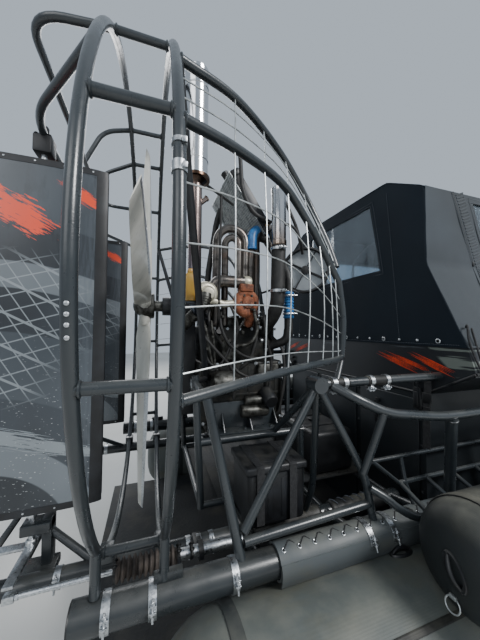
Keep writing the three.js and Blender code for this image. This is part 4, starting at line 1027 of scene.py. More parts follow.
def make_bed_sleeves():
    """Fabric laced round each inner rail beside the engine, with its pale cord on top."""
    start, end, radius = 0.27, 1.08, 0.037
    for side, sign in SIDES:
        form, cord = Form(), []
        for low, high in ((start, 0.302), (0.358, 0.692), (0.748, end)):
            rings = []
            steps = max(4, int((high - low) / 0.008))
            for step in range(steps + 1):
                x = low + (high - low) * step / steps
                ring = []
                for k in range(28):
                    a = 2 * math.pi * k / 28
                    pucker = 0.002 * math.cos(x * 2 * math.pi / 0.045) * max(0.0, math.sin(a)) ** 2
                    r = (radius + pucker) * (1.0 if 0 < step < steps else 0.86)
                    ring.append((x, sign * (BED_Y - r * math.cos(a)), BED_Z + r * math.sin(a)))
                rings.append(ring)
            form.skin(rings)
            for k in range(int((high - low - 0.02) / 0.045)):
                x = low + 0.015 + k * 0.045
                cord.append([
                    (x + dx, sign * (BED_Y - (radius + 0.0035) * math.cos(a)),
                    BED_Z + (radius + 0.0035) * math.sin(a))
                    for a, dx in ((math.radians(58 + 9 * i), 0.02 * i / 7) for i in range(8))
                ])
        form.piece(f"bed_sleeve_{side}", "bottom", slot="pvc_black", sharp=60)
        lace = Form()
        for points in cord:
            lace.tube(points, 0.002, 7)
        lace.piece(f"bed_lacing_{side}", "thread", slot="pvc_black")


make_bed_sleeves()


# Propeller
PROP = Vector((-0.083, 0.0, 1.585))
REST_TURN = Matrix.Rotation(math.radians(-10), 3, "X")
BLADE = [
    (0.06, 0.058, 0.046, 64), (0.1, 0.07, 0.04, 60), (0.17, 0.104, 0.03, 48), (0.3, 0.12, 0.024, 37),
    (0.42, 0.124, 0.02, 31), (0.56, 0.12, 0.0165, 28), (0.7, 0.112, 0.013, 24.5), (0.82, 0.101, 0.011, 21.5),
    (0.92, 0.09, 0.009, 19.5), (0.972, 0.08, 0.0075, 18.5), (0.995, 0.07, 0.005, 18),
]


def airfoil(chord, thick, twist, sides=14):
    """Points round a blade section, from the leading edge over the back to the tail and under."""
    turn, ring = math.radians(twist), []
    for k in range(sides * 2):
        back = k < sides
        t = (k if back else sides * 2 - k) / sides
        along = (t - 0.42) * chord
        root = math.sqrt(max(t, 0.0))
        full = (root * 1.48 - t * 0.63 - 1.76 * t * t + 1.42 * t ** 3 - 0.5 * t ** 4) * thick
        out = full * 0.95 if back else -full * 0.45
        ring.append((along, out))
    return [(-a * math.sin(turn) + o * math.cos(turn), -a * math.cos(turn) - o * math.sin(turn))
        for a, o in ring]


def make_propeller():
    blades, edges, hub, bolts = Form(), Form(), Form(), Form()
    for quarter in range(4):
        one, strip = Form(), Form()
        rings, guard = [], []
        for radius, chord, thick, twist in BLADE:
            section = airfoil(chord, thick, twist)
            rings.append([(x, y, radius) for x, y in section])
            if radius > 0.4:
                nose = [section[i] for i in (24, 25, 26, 27, 0, 1, 2, 3)]
                middle = Vector((sum(x for x, _ in section) / 28, sum(y for _, y in section) / 28))
                shell = [Vector(p) + (Vector(p) - middle).normalized() * 0.0009 for p in nose]
                back = [Vector(p) * 1.0 for p in reversed(nose)]
                guard.append([(p.x, p.y, radius) for p in shell + back])
        one.skin(rings)
        one.turned([(0.029, 0.03), (0.03, 0.085), (0.027, 0.1), (0.02, 0.112)], (0, 0, 0), "z", 24)
        strip.skin(guard)
        turn = Matrix.Rotation(math.radians(90 * quarter), 3, "X")
        for form, target in ((one, blades), (strip, edges)):
            form.turn(turn, (0, 0, 0))
            target.join(form.mesh)
    hub.turned(
        [(0.01, -0.062), (0.026, -0.058), (0.04, -0.048), (0.055, -0.03), (0.064, -0.012), (0.07, 0.0),
        (0.07, 0.044), (0.066, 0.048),
         (0.058, 0.05), (0.03, 0.05), (0.03, 0.1027)],
        (0, 0, 0), "x", 48,
    )
    for k in range(8):
        a = math.radians(45 * k + 22.5)
        bolts.bolt((-0.0125, 0.05 * math.cos(a), 0.05 * math.sin(a)),
            (-1, 0.28 * math.cos(a), 0.28 * math.sin(a)), 0.006, 0.006)
    move = MIDDLE + PROP
    for form, name, finish, slot in (
        (blades, "propeller_blades", "blade", "blade"), (edges, "propeller_edge_strips", "zinc", "zinc"),
        (hub, "propeller_hub", "alloy", "engine_metal"), (bolts, "propeller_hub_bolts", "zinc", "zinc"),
    ):
        form.turn(REST_TURN, (0, 0, 0))
        stands = "propeller" if name == "propeller_blades" else ()
        form.piece(name, finish, "propeller", stands, slot, shift=move)


make_propeller()


# Rudders, with their shafts, arms, trims and the printed wrap
PIVOT_X, RUDDER_Y = -0.43, 0.44
RUDDER_LOW, RUDDER_HIGH = 0.82, 2.06


def brushed(made, centre, size, lean, seed, ragged=0.8):
    """A mask of a dry brush stroke: centre and size in X and Z, lean in radians."""
    tree = made.tree
    inputs = {
        "Vector": made.place, "Location": (centre[0] + MIDDLE.x, 0.0, centre[1]),
        "Rotation": (0.0, lean, 0.0), "Scale": (size[0], 50.0, size[1]),
    }
    local = add(tree, "ShaderNodeMapping", inputs, vector_type="TEXTURE").outputs[0]
    drawn = {"Vector": local, "Scale": (0.9, 0.0, 3.4), "Location": (seed, 0.0, seed)}
    lanes = add(tree, "ShaderNodeMapping", drawn).outputs[0]
    bristles = add(tree, "ShaderNodeTexNoise", {"Vector": lanes, "Scale": 1.6, "Detail": 5.0,
        "Roughness": 0.6})
    far = add(tree, "ShaderNodeVectorMath", {0: local}, operation="LENGTH").outputs["Value"]
    push = made.between(bristles.outputs["Fac"], 0.3, 0.7, -ragged, ragged)
    return made.between(made.times(far, push, "ADD"), 1.0, 0.96)


def rudder_wrap():
    # Printed vinyl wrap under satin laminate: slate ground, grey arcs and net lines, brushed strokes
    made = Finish("printed_satin_vinyl_wrap", "#1d2227", 0.38, 0.0,
        **{"Coat Weight": 0.3, "Coat Roughness": 0.25})
    tree, place = made.tree, made.place
    inputs = {"Vector": place, "Location": (3.1, 0.0, -0.7), "Scale": (1.0, 0.0, 1.0)}
    where = add(tree, "ShaderNodeMapping", inputs).outputs[0]
    made.tint("#33393f", made.between(made.noise(0.5, 2.0, (1.0, 0.0, 0.7)), 0.46, 0.6, 0.0, 0.9))
    mottle = made.between(made.noise(0.05, 6.0, (1.0, 0.0, 0.35)), 0.52, 0.62)
    made.tint("#11151a", made.times(mottle, made.between(made.axis("Z"), 1.62, 1.8)))
    inputs = {"Vector": where, "Scale": 0.5, "Distortion": 0.5, "Detail": 0.0}
    arcs = add(tree, "ShaderNodeTexWave", inputs, wave_type="RINGS", rings_direction="Y").outputs["Fac"]
    made.tint("#6f767b", made.between(arcs, 0.94, 0.95, 0.0, 0.7))
    made.tint("#454c52", made.times(made.between(arcs, 0.3, 0.28), 0.55))
    height = made.axis("Z")
    middle = made.times(made.between(height, 1.18, 1.24), made.between(height, 1.74, 1.66))
    lines = None
    for direction, angle, scale in (("X", 0.55, 7.0), ("Z", 0.3, 6.0), ("Z", -0.5, 3.2)):
        lean = add(tree, "ShaderNodeMapping", {"Vector": where, "Rotation": (0.0, angle, 0.0)}).outputs[0]
        inputs = {"Vector": lean, "Scale": scale, "Distortion": 0.35, "Detail": 0.0, "Detail Scale": 0.4}
        wave = add(tree, "ShaderNodeTexWave", inputs, bands_direction=direction)
        line = made.between(wave.outputs["Fac"], 0.978, 0.99)
        lines = line if lines is None else made.times(lines, line, "MAXIMUM")
    patch = made.between(made.noise(0.6, 0.0, (1.0, 0.0, 1.0)), 0.42, 0.5)
    made.tint("#858c90", made.times(made.times(lines, middle), made.times(patch, 0.8)))
    nose = made.between(made.axis("X"), MIDDLE.x - 0.33, MIDDLE.x - 0.24)
    dry = made.between(made.noise(0.03, 5.0, (3.0, 0.0, 0.3)), 0.46, 0.56)
    made.tint("#4d545a", made.times(made.times(nose, dry), 0.55))
    for centre, size, lean, seed in (
        ((-0.6, 1.115), (0.2, 0.03), 0.28, 2.0), ((-0.34, 1.03), (0.14, 0.02), 0.28, 5.0),
        ((-0.72, 1.72), (0.1, 0.02), 0.35, 8.0),
    ):
        made.tint("#757c80", brushed(made, centre, size, lean, seed))
    for centre, size, lean, seed in (
        ((-0.49, 1.86), (0.1, 0.045), 0.5, 1.0), ((-0.29, 1.945), (0.075, 0.02), 0.5, 3.0),
        ((-0.71, 1.93), (0.12, 0.03), 0.5, 4.0), ((-0.78, 0.94), (0.06, 0.02), 0.5, 6.0),
    ):
        made.tint("#d8431f", brushed(made, centre, size, lean, seed))
    specks = made.between(made.noise(0.006, 1.0, (0.5, 1.0, 1.4)), 0.71, 0.73)
    made.tint("#a9adae", made.times(specks, made.between(height, 1.5, 1.1, 0.0, 0.8)))
    made.relief(made.noise(0.07, 2.0), 0.0006)
    FINISH["wrap"] = made


def coaming_paint():
    # Printed film on the coaming: charcoal with pale slanting streaks on its sides
    made = Finish("printed_film_on_coaming", "#171a1e", 0.4, 0.0,
        **{"Coat Weight": 0.2, "Coat Roughness": 0.3})
    inputs = {"Vector": made.place, "Rotation": (0.0, 0.62, 0.0), "Scale": (0.5, 0.6, 9.0)}
    lean = add(made.tree, "ShaderNodeMapping", inputs).outputs[0]
    streak = add(made.tree, "ShaderNodeTexNoise", {"Vector": lean, "Scale": 3.0, "Detail": 4.0,
        "Roughness": 0.6})
    pale = made.between(streak.outputs["Fac"], 0.5, 0.53)
    wide = made.times(made.axis("Y"), 0.0, "ABSOLUTE")
    slant = made.times(made.between(made.axis("Z"), 1.15, 1.45, 0.0, 0.3), wide, "ADD")
    outboard = made.between(slant, 0.87, 0.885)
    made.tint("#5f6660", made.times(pale, outboard))
    low = made.times(made.between(streak.outputs["Fac"], 0.58, 0.6),
        made.between(made.axis("Z"), 1.35, 1.37))
    made.tint("#4a5055", made.times(low, 0.7))
    made.dust("#8a897e", 0.35, 0.1)
    made.relief(made.noise(0.08, 2.0), 0.0005)
    FINISH["coaming"] = made


rudder_wrap()
coaming_paint()


def foil_half(t):
    """Half thickness of the rudder at t from nose (0) to tail (1)."""
    return 0.03 * (1.9 * math.sqrt(t) * (1 - t) ** 0.82 * 1.02 + 0.12 * t)


def make_rudders():
    nose, tail = -0.215, -0.865
    for side, sign in SIDES:
        y = RUDDER_Y * sign
        body = f"rudder_{side}"
        line = []
        for k in range(41):
            t = (k / 40) ** 1.6
            line.append((nose + (tail - nose) * t, min(0.03, foil_half(t))))
        outline = [(x, y + h) for x, h in line] + [(x, y - h) for x, h in reversed(line[1:])]
        skin = Form()
        levels = [RUDDER_LOW + 0.001, RUDDER_LOW + 0.004] + [0.95 + 0.1 * k
            for k in range(11)] + [RUDDER_HIGH - 0.004, RUDDER_HIGH - 0.001]
        skin.skin([[(px, py, z) for px, py in outline] for z in levels])
        skin.piece(f"rudder_wrap_{side}", "wrap", body, f"rudder_{side}", "slate_skin", sharp=50)

        trims, screws = Form(), Form()
        for low, high in ((RUDDER_LOW - 0.0005, RUDDER_LOW + 0.022),
                (RUDDER_HIGH - 0.022, RUDDER_HIGH + 0.0005)):
            grown = [(x, y + (h + 0.0014) * s) for s, row in ((1, line), (-1, line[::-1][:-1]))
                for x, h in row]
            trims.skin([[(px, py, z) for px, py in grown] for z in (low, low + 0.001, high - 0.001, high)])
            for k in range(7):
                t = 0.08 + k * 0.14
                x = nose + (tail - nose) * t
                for s in (-1, 1):
                    p = (x, y + s * (min(0.03, foil_half(t)) + 0.0012), (low + high) / 2)
                    screws.turned([(0.0034, 0), (0.0032, 0.0012), (0.0018, 0.002)], p, (0, s, 0), 10)
        for edge in range(2):
            x = nose + 0.0006 if edge == 0 else tail + 0.008
            if edge == 0:
                rings = []
                for z in (RUDDER_LOW + 0.022, RUDDER_HIGH - 0.022):
                    front = [(px + 0.0012, y + (h + 0.001) * 1.0, z) for px, h in line[7::-1]]
                    back = [(px + 0.0012, y - (h + 0.001), z) for px, h in line[1:8]]
                    inner = [(px - 0.001, y - h * 0.9, z) for px, h in line[7:0:-1]] + [(px - 0.001,
                        y + h * 0.9, z) for px, h in line[0:8]]
                    rings.append(front + back + inner)
                trims.skin(rings)
            else:
                trims.block((tail - 0.0005, y - 0.0046, RUDDER_LOW + 0.022),
                    (tail + 0.012, y + 0.0046, RUDDER_HIGH - 0.022), 0.001)
        trims.piece(f"rudder_trim_{side}", "plastic", body, slot="black_plastic")
        screws.piece(f"rudder_trim_screws_{side}", "zinc", body, slot="zinc")

        gear = Form()
        gear.turned([(0.01, 0.69), (0.01, 2.122)], (PIVOT_X, y, 0), "z", 24)
        gear.block((PIVOT_X - 0.136, y - 0.016, 0.7), (PIVOT_X + 0.012, y + 0.016, 0.71), 0.002)
        gear.turned([(0.008, 0.6762), (0.008, 0.711), (0.006, 0.713)], (PIVOT_X - 0.12, y, 0), "z", 20)
        gear.turned([(0.016, 0.7), (0.018, 0.702), (0.018, 0.724), (0.014, 0.728)], (PIVOT_X, y, 0), "z", 20)
        gear.turned([(0.017, 0.806), (0.017, 0.8194)], (PIVOT_X, y, 0), "z", 20)
        if sign < 0:
            gear.block((PIVOT_X - 0.014, y - 0.166, 0.7), (PIVOT_X + 0.014, y + 0.012, 0.71), 0.002)
        gear.piece(f"rudder_shaft_{side}", "zinc", body, slot="zinc")


make_rudders()


# Steering: tie bar, ram, rubber boot and its brackets
def make_steering():
    tie = Form()
    y0 = -RUDDER_Y
    for s in (-1, 1):
        tie.block((PIVOT_X - 0.12 + s * 0.0072 - 0.0048, y0 + 0.02, 0.6805),
            (PIVOT_X - 0.12 + s * 0.0072 + 0.0048, y0 + 0.86, 0.6895), 0.002)
    tie.plate(
        [(PIVOT_X - 0.132, y0 + 0.0), (PIVOT_X - 0.132, y0 + 0.866), (PIVOT_X - 0.108, y0 + 0.866),
        (PIVOT_X - 0.108, y0 + 0.0)],
        0.6803, 0.6897, "z", 0.002,
    )
    tie.turned([(0.0086, 0.6803), (0.019, 0.6803), (0.019, 0.6897), (0.0086, 0.6897)],
        (PIVOT_X - 0.12, y0, 0), "z", 28)
    tie.piece("rudder_tie_rod", "bed_paint", "tie_bar", "rudder_tie_bar", "zinc")

    sy, sz = -0.59, 0.665
    rod = Form()
    rod.tube([(-0.445, sy, sz), (0.205, sy, sz)], 0.008, 18)
    rod.block((-0.445, sy - 0.012, sz - 0.01), (-0.415, sy + 0.012, sz + 0.012), 0.003)
    rod.turned([(0.0105, 0.0), (0.0105, 0.008)], (-0.414, sy, sz), "x", 6)
    rod.piece("steering_ram_rod", "zinc", "steering_rod", "steering_rod", "zinc")

    profile = [(0.0135, -0.15), (0.026, -0.15), (0.027, -0.146)]
    for k in range(11):
        x = -0.143 + k * 0.0175
        profile += [(0.0335, x), (0.0345, x + 0.0025), (0.0335, x + 0.005), (0.0235, x + 0.0105),
            (0.0225, x + 0.0125)]
    profile += [(0.026, 0.052), (0.026, 0.058), (0.0188, 0.06)]
    boot = Form().turned(profile, (0, sy, sz), "x", 36)
    boot.piece("steering_boot", "boot", stands_for="steering_bellows", slot="bellows_rubber")
    ram = Form().turned([(0.0188, 0.058), (0.0188, 0.29), (0.0165, 0.2915), (0.009, 0.2915)], (0, sy, sz),
        "x", 36)
    ram.piece("steering_ram_tube", "zinc", slot="zinc")
    mount = Form()
    mount.block((0.117, -0.578, 0.634), (0.148, -0.482, 0.6515), 0.003)
    for x in (-0.147, 0.055, 0.1, 0.27):
        clamp_band(mount, (x, sy, sz), (1, 0, 0), (0, -0.4, 1), 0.028 if x < 0.06 else 0.0189, 0.011)
    mount.turned([(0.019, 0.124), (0.03, 0.124), (0.03, 0.141), (0.019, 0.141)], (0, sy, sz), "x", 32)
    mount.piece("steering_ram_bracket", "plastic", slot="black_plastic")


make_steering()


# Zinc clamps that hold the cage and the frame to the rails
def make_clamps():
    form = Form()
    for _, sign in SIDES:
        for x, y, z, radius, width in (
            (-0.152, RAIL_Y, RAIL_Z, 0.0452, 0.022), (-0.032, RAIL_Y, RAIL_Z, 0.0452, 0.022),
            (0.212, RAIL_Y, RAIL_Z, 0.0452, 0.022),
            (-0.33, BED_Y, BED_Z, 0.0302, 0.02), (0.1, BED_Y, BED_Z, 0.0302, 0.018),
            (0.14, BED_Y, BED_Z, 0.0302, 0.018), (0.19, BED_Y, BED_Z, 0.0302, 0.018),
        ):
            clamp_band(form, (x, sign * y, z), (1, 0, 0), (0, sign, 0.35), radius, width)
        for x in (0.62, 0.67, 0.8, 0.88):
            clamp_band(form, (x, sign * 0.7, 1.25), (1, 0, 0), (0, sign * 0.3, -1), 0.0212, 0.018)
        for x in (0.725, 0.83):
            clamp_band(form, (x, sign * RAIL_Y, RAIL_Z), (1, 0, 0), (0, sign, 0.35), 0.056, 0.022)
    form.piece("rail_clamps", "zinc", slot="zinc")
    padding = Form()
    for _, sign in SIDES:
        for low, high in ((0.6, 0.69), (0.78, 0.9)):
            padding.turned([(0.0182, low), (0.0205, low + 0.003), (0.0205, high - 0.003), (0.0182, high)],
                (0, sign * 0.7, 1.25), "x", 24)
    padding.piece("top_tube_padding", "bottom", slot="pvc_black")
    ends = Form()
    for _, sign in SIDES:
        ends.turned([(0.0435, 0.0), (0.0445, 0.002), (0.0445, 0.0035), (0.042, 0.0045)],
            (-0.2382, sign * RAIL_Y, RAIL_Z), (-1, 0, 0), 36)
        ends.turned([(0.029, 0.0), (0.0295, 0.002), (0.028, 0.004)], (-0.5202, sign * BED_Y, BED_Z),
            (-1, 0, 0), 28)
    ends.piece("rail_end_caps", "plastic", slot="black_plastic")


make_clamps()


# Engine: crankcase, head, covers, belt drive, manifolds, turbine, tanks and hoses
VOLUTE_PIPE, VOLUTE_SIDES = 0.016, 16


def volute(middle, start, sweep, steps, radius, grow, swell):
    """A spiral housing that widens along its turn: start and sweep in degrees, the rest in metres."""
    rings = []
    for k in range(steps + 1):
        a = math.radians(start + sweep * k / steps)
        r = radius + grow * k / steps
        thick = VOLUTE_PIPE + swell * k / steps
        out = Vector((math.cos(a), 0, math.sin(a)))
        spot = middle + Vector((r * math.cos(a), 0, r * math.sin(a)))
        turns = [2 * math.pi * s / VOLUTE_SIDES for s in range(VOLUTE_SIDES)]
        rings.append([spot + out * (thick * math.cos(b)) + Vector((0, 1, 0)) * (thick * math.sin(b))
            for b in turns])
    return Form().skin(rings)


def make_engine():
    case = Form()
    case.block((0.184, -0.212, 0.962), (0.656, 0.212, 1.285), 0.014, segments=3)
    case.block((0.232, -0.168, 0.903), (0.598, 0.168, 0.968), 0.02, segments=3)
    case.block((0.202, -0.148, 1.27), (0.638, 0.148, 1.476), 0.012, segments=3)
    for _, sign in SIDES:
        for k in range(6):
            x = 0.215 + k * 0.078
            case.block((x, min(sign * 0.2, sign * 0.2148), 0.99),
                (x + 0.014, max(sign * 0.2, sign * 0.2148), 1.26), 0.003)
        case.block((0.2, min(sign * 0.19, sign * 0.2149), 1.1),
            (0.64, max(sign * 0.19, sign * 0.2149), 1.118), 0.003)
    case.piece("engine_crankcase", "cast", stands_for="engine_block", slot="engine_metal")

    head = Form()
    head.block((0.218, -0.103, 1.462), (0.622, 0.103, 1.526), 0.012, segments=3)
    for k in range(5):
        x = 0.25 + k * 0.08
        head.block((x, -0.09, 1.522), (x + 0.03, 0.09, 1.539), 0.004)
    for x in (0.235, 0.345, 0.455, 0.565, 0.61):
        for y in (-0.094, 0.094):
            head.bolt((x, y, 1.524), (0, 0, 1), 0.006, 0.005)
    head.piece("engine_head_cover", "alloy", slot="engine_metal")

    bolts = Form()
    for _, sign in SIDES:
        for k in range(7):
            x = 0.208 + k * 0.072
            bolts.bolt((x, sign * 0.2125, 1.272), (0, sign, 0), 0.0065, 0.006)
            bolts.bolt((x, sign * 0.148, 1.46), (0, sign, 0), 0.0055, 0.005)
            bolts.bolt((x, sign * 0.2125, 0.976), (0, sign, 0), 0.0055, 0.005)
    bolts.piece("engine_bolts", "zinc", slot="engine_metal")

    # Starboard accessories that show through the guard: alternator, oil filter, starter, flanges
    side = Form()
    side.turned([(0.03, 0), (0.05, 0.006), (0.058, 0.02), (0.058, 0.1), (0.05, 0.114), (0.022, 0.118),
        (0.022, 0.15)], (0.24, -0.262, 1.19), "x", 32)
    for k in range(10):
        a = 2 * math.pi * k / 10
        spot = Vector((0.262, -0.262 + 0.043 * math.cos(a), 1.19 + 0.043 * math.sin(a)))
        side.block(spot - Vector((0.019, 0.003, 0.003)), spot + Vector((0.06, 0.003, 0.003)), 0.001)
    side.turned([(0.03, 0), (0.032, 0.008), (0.032, 0.14), (0.026, 0.15)], (0.4, -0.245, 1.03), "x", 28)
    side.turned([(0.02, 0), (0.022, 0.004), (0.022, 0.09), (0.016, 0.096)], (0.42, -0.245, 1.085), "x", 22)
    side.block((0.3, -0.235, 1.3), (0.37, -0.15, 1.4), 0.008)
    side.block((0.5, -0.24, 1.2), (0.62, -0.205, 1.27), 0.006)
    side.piece("engine_accessories", "alloy", slot="engine_metal")
    can = Form()
    can.turned([(0.01, 0.0), (0.036, 0.004), (0.038, 0.01), (0.038, 0.085), (0.033, 0.095), (0.02, 0.097)],
        (0.55, -0.215, 1.12), (0, -0.9, -0.42), 32)
    can.turned([(0.016, 0.0), (0.02, 0.004), (0.02, 0.03)], (0.3, -0.15, 1.44), (0, -1, 0.4), 20)
    can.piece("oil_filter", "plastic", slot="black_plastic")

    # Belt drive on the aft face
    drive = Form()
    wheels = ((0.0, 1.06, 0.075), (-0.13, 1.16, 0.04), (0.12, 1.2, 0.05), (0.0, 1.34, 0.062),
        (-0.262, 1.19, 0.03))
    for y, z, r in wheels:
        drive.turned([(r, 0.0), (r, 0.004), (r - 0.005, 0.008), (r - 0.005, 0.02), (r, 0.024), (r, 0.028),
            (r * 0.5, 0.028), (r * 0.5, 0.03)], (0.151 if y < -0.2 else 0.1805, y, z),
            (1, 0, 0) if y < -0.2 else (-1, 0, 0), 36)
    drive.piece("belt_pulleys", "zinc", slot="engine_metal")

    # Exhaust: nested inverted U pipes, a collector, the turbine and the muffler pipe

    def u_pipe(first, low, high, top, last):
        """Points of a pipe that rises at X low, turns over in a half circle and comes down at X high."""
        r = (high - low) / 2
        arc = [math.pi * k / 14 for k in range(15)]
        turned = [(low + r - r * math.cos(a), -0.16 - 0.03 * a / math.pi, top - r + r * math.sin(a))
            for a in arc]
        return [first] + turned + [last]

    outer = u_pipe((0.287, -0.12, 1.4803), 0.285, 0.44, 2.014, (0.435, -0.195, 1.74))
    inner = u_pipe((0.34, -0.12, 1.4803), 0.331, 0.401, 1.962, (0.398, -0.195, 1.74))
    headers = pipes([
        (outer, 0.0225, BEND, 20), (inner, 0.0195, BEND, 20),
        ([(0.52, -0.12, 1.4803), (0.52, -0.15, 1.78), (0.5, -0.19, 1.99), (0.56, -0.15, 2.02)], 0.0235, 0.07,
        20),
        ([(0.46, -0.12, 1.4803), (0.47, -0.18, 1.7), (0.47, -0.2, 1.9), (0.52, -0.17, 1.98)], 0.02, 0.06,
        20),
        ([(0.24, -0.12, 1.4803), (0.25, -0.17, 1.6), (0.28, -0.19, 1.71)], 0.018, 0.05, 18),
    ])
    headers.tube(bent([(0.262, -0.19, 1.58), (0.262, -0.21, 1.712), (0.43, -0.21, 1.712)], 0.05, 10), 0.033,
        30)
    headers.piece("exhaust_headers", "header", stands_for="header_pipes", slot="header_black")

    end = Form()
    end.turned([(0.0335, 0.0), (0.0352, 0.003), (0.0352, 0.03), (0.031, 0.04), (0.018, 0.044),
        (0.004, 0.045)], (0.422, -0.21, 1.712), "x", 36)
    end.piece("collector_end", "bright", slot="engine_metal")

    centre = Vector((0.437, -0.225, 1.6))
    turbine = volute(centre, -60, 340, 36, 0.05, 0.004, 0.014)
    turbine.turned([(0.014, -0.03), (0.03, -0.028), (0.034, -0.02), (0.044, -0.012), (0.05, 0.0),
        (0.05, 0.03), (0.03, 0.05), (0.03, 0.075)], centre, "y", 32)
    turbine.block(centre + Vector((-0.045, -0.03, 0.058)), centre + Vector((0.03, 0.03, 0.098)), 0.006)
    turbine.tube([centre + Vector((0.03, 0.0, -0.05)), centre + Vector((0.02, 0.03, -0.11)),
        (0.48, -0.13, 1.49)], 0.024, 18)
    turbine.block(centre + Vector((-0.035, -0.02, 0.045)), centre + Vector((0.03, 0.025, 0.075)), 0.004)
    turbine.piece("turbine_housing", "rust", slot="engine_metal")
    middle = Vector((0.214, -0.245, 1.632))
    snail = volute(middle, -100, 320, 32, 0.037, 0.006, 0.017)
    snail.turned([(0.02, -0.05), (0.03, -0.048), (0.033, -0.03), (0.045, -0.012), (0.048, 0.0),
        (0.048, 0.02), (0.02, 0.03)], middle, "y", 32)
    snail.tube([middle + Vector((0.03, 0.0, -0.03)), middle + Vector((0.09, 0.01, -0.045)),
        (0.4, -0.21, 1.6)], 0.019, 18)
    snail.piece("compressor_snail", "bright", slot="engine_metal")
    duct = Form()
    path = smooth([(0.2, -0.29, 1.63), (0.19, -0.3, 1.58), (0.15, -0.3, 1.53), (0.1, -0.27, 1.48),
        (0.08, -0.2, 1.46)], 48)
    for k in range(4, len(path) - 2, 2):
        duct.loop(path[k], path[k + 1] - path[k - 1], 0.029, 0.0022, 6, 24)
    duct.tube(path, 0.0285, 20)
    duct.piece("inlet_duct", "alloy", slot="black_plastic")
    cold = Form()
    cold.turned([(0.028, 0.0), (0.03, 0.004), (0.047, 0.012), (0.05, 0.03), (0.045, 0.05), (0.028, 0.06),
        (0.026, 0.085)], centre + Vector((0.0, 0.076, 0.0)), "y", 32)
    for k in range(6):
        a = math.radians(60 * k)
        cold.bolt(centre + Vector((0.042 * math.cos(a), -0.021, 0.042 * math.sin(a))), (0, -1, 0), 0.0045,
            0.004)
    cold.piece("compressor_housing", "alloy", slot="engine_metal")

    muffler = Form()
    muffler.turned(
        [(0.034, 1.9), (0.0415, 1.906), (0.0415, 1.93), (0.0385, 1.934), (0.0385, 2.185), (0.0415, 2.19),
        (0.0415, 2.212), (0.036, 2.2196),
         (0.03, 2.2196), (0.03, 2.16)],
        (0.59, -0.3, 0), "z", 40,
    )
    muffler.piece("short_exhaust", "chrome", stands_for="exhaust_muffler", slot="chrome")
    down = pipes([([(0.59, -0.3, 1.906), (0.582, -0.3, 1.56), (0.56, -0.152, 1.45)], 0.038, 0.09, 26)])
    down.piece("exhaust_hose", "hose", slot="header_black")
    bands = Form()
    clamp_band(bands, (0.587, -0.3, 1.885), (0.01, 0, 1), (0, -1, 0), 0.0385, 0.014)
    clamp_band(bands, (0.584, -0.3, 1.66), (0.02, 0, 1), (0.3, -1, 0), 0.0385, 0.014)
    bands.piece("exhaust_bands", "zinc", slot="zinc")

    stack = Form()
    stack.turned(
        [(0.03, 2.134), (0.0535, 2.1345), (0.0535, 2.14), (0.0535, 2.6), (0.0555, 2.606), (0.0555, 2.6185),
         (0.0515, 2.6195), (0.0495, 2.6), (0.0495, 2.2)],
        (0.128, -0.4, 0), "z", 48,
    )
    lower = Form()
    lower.tube(bent([(0.128, -0.4, 2.13), (0.128, -0.4, 1.56), (0.24, -0.13, 1.5)], 0.09, 10), 0.029, 28)
    lower.turned([(0.029, 2.1), (0.05, 2.1185), (0.0635, 2.1185), (0.0635, 2.132), (0.054, 2.134),
        (0.03, 2.134)], (0.128, -0.4, 0), "z", 48)
    lower.tube([(0.15, -0.4, 2.02), (0.178, -0.402, 2.045)], 0.011, 18)
    lower.turned([(0.014, 0), (0.014, 0.007)], (0.176, -0.402, 2.043), (0.74, 0, 0.67), 6)
    lower.piece("exhaust_riser", "tinted", slot="chrome")
    for z in (2.2, 2.53):
        stack.turned([(0.0535, 0), (0.0556, 0.002), (0.0556, 0.008), (0.0535, 0.01)], (0.128, -0.4, z), "z",
            48)
    stack.piece("exhaust_stack_pipe", "chrome", stands_for="exhaust_stack", slot="chrome")
    flange = Form()
    for k in range(6):
        a = math.radians(60 * k)
        flange.bolt((0.128 + 0.0575 * math.cos(a), -0.4 + 0.0575 * math.sin(a), 2.134), (0, 0, 1), 0.004,
            0.004, washer=False)
    flange.piece("stack_flange_bolts", "zinc", slot="zinc")

    # Reservoir, air filter and hoses
    tank = Form()
    rings = []
    for z, grow in ((1.585, 0.82), (1.59, 0.95), (1.61, 1.0), (1.665, 1.0), (1.69, 0.9), (1.7, 0.6)):
        ring = []
        for k in range(28):
            a = 2 * math.pi * k / 28
            square = (abs(math.cos(a)) ** 4 + abs(math.sin(a)) ** 4) ** -0.25
            ring.append((0.104 + 0.027 * grow * square * math.cos(a),
                -0.452 + 0.02 * grow * square * math.sin(a), z - 0.01))
        rings.append(ring)
    tank.skin(rings)
    tank.turned([(0.012, 1.688), (0.0135, 1.692), (0.0135, 1.704), (0.01, 1.709)], (0.104, -0.452, 0), "z",
        20)
    tank.piece("coolant_reservoir", "bottle", slot="black_plastic")
    holder = Form()
    holder.block((0.085, -0.465, 1.562), (0.135, -0.41, 1.574), 0.003)
    holder.block((0.225, -0.15, 1.48), (0.245, -0.11, 1.584), 0.003)
    holder.piece("reservoir_bracket", "paint", slot="frame_paint")

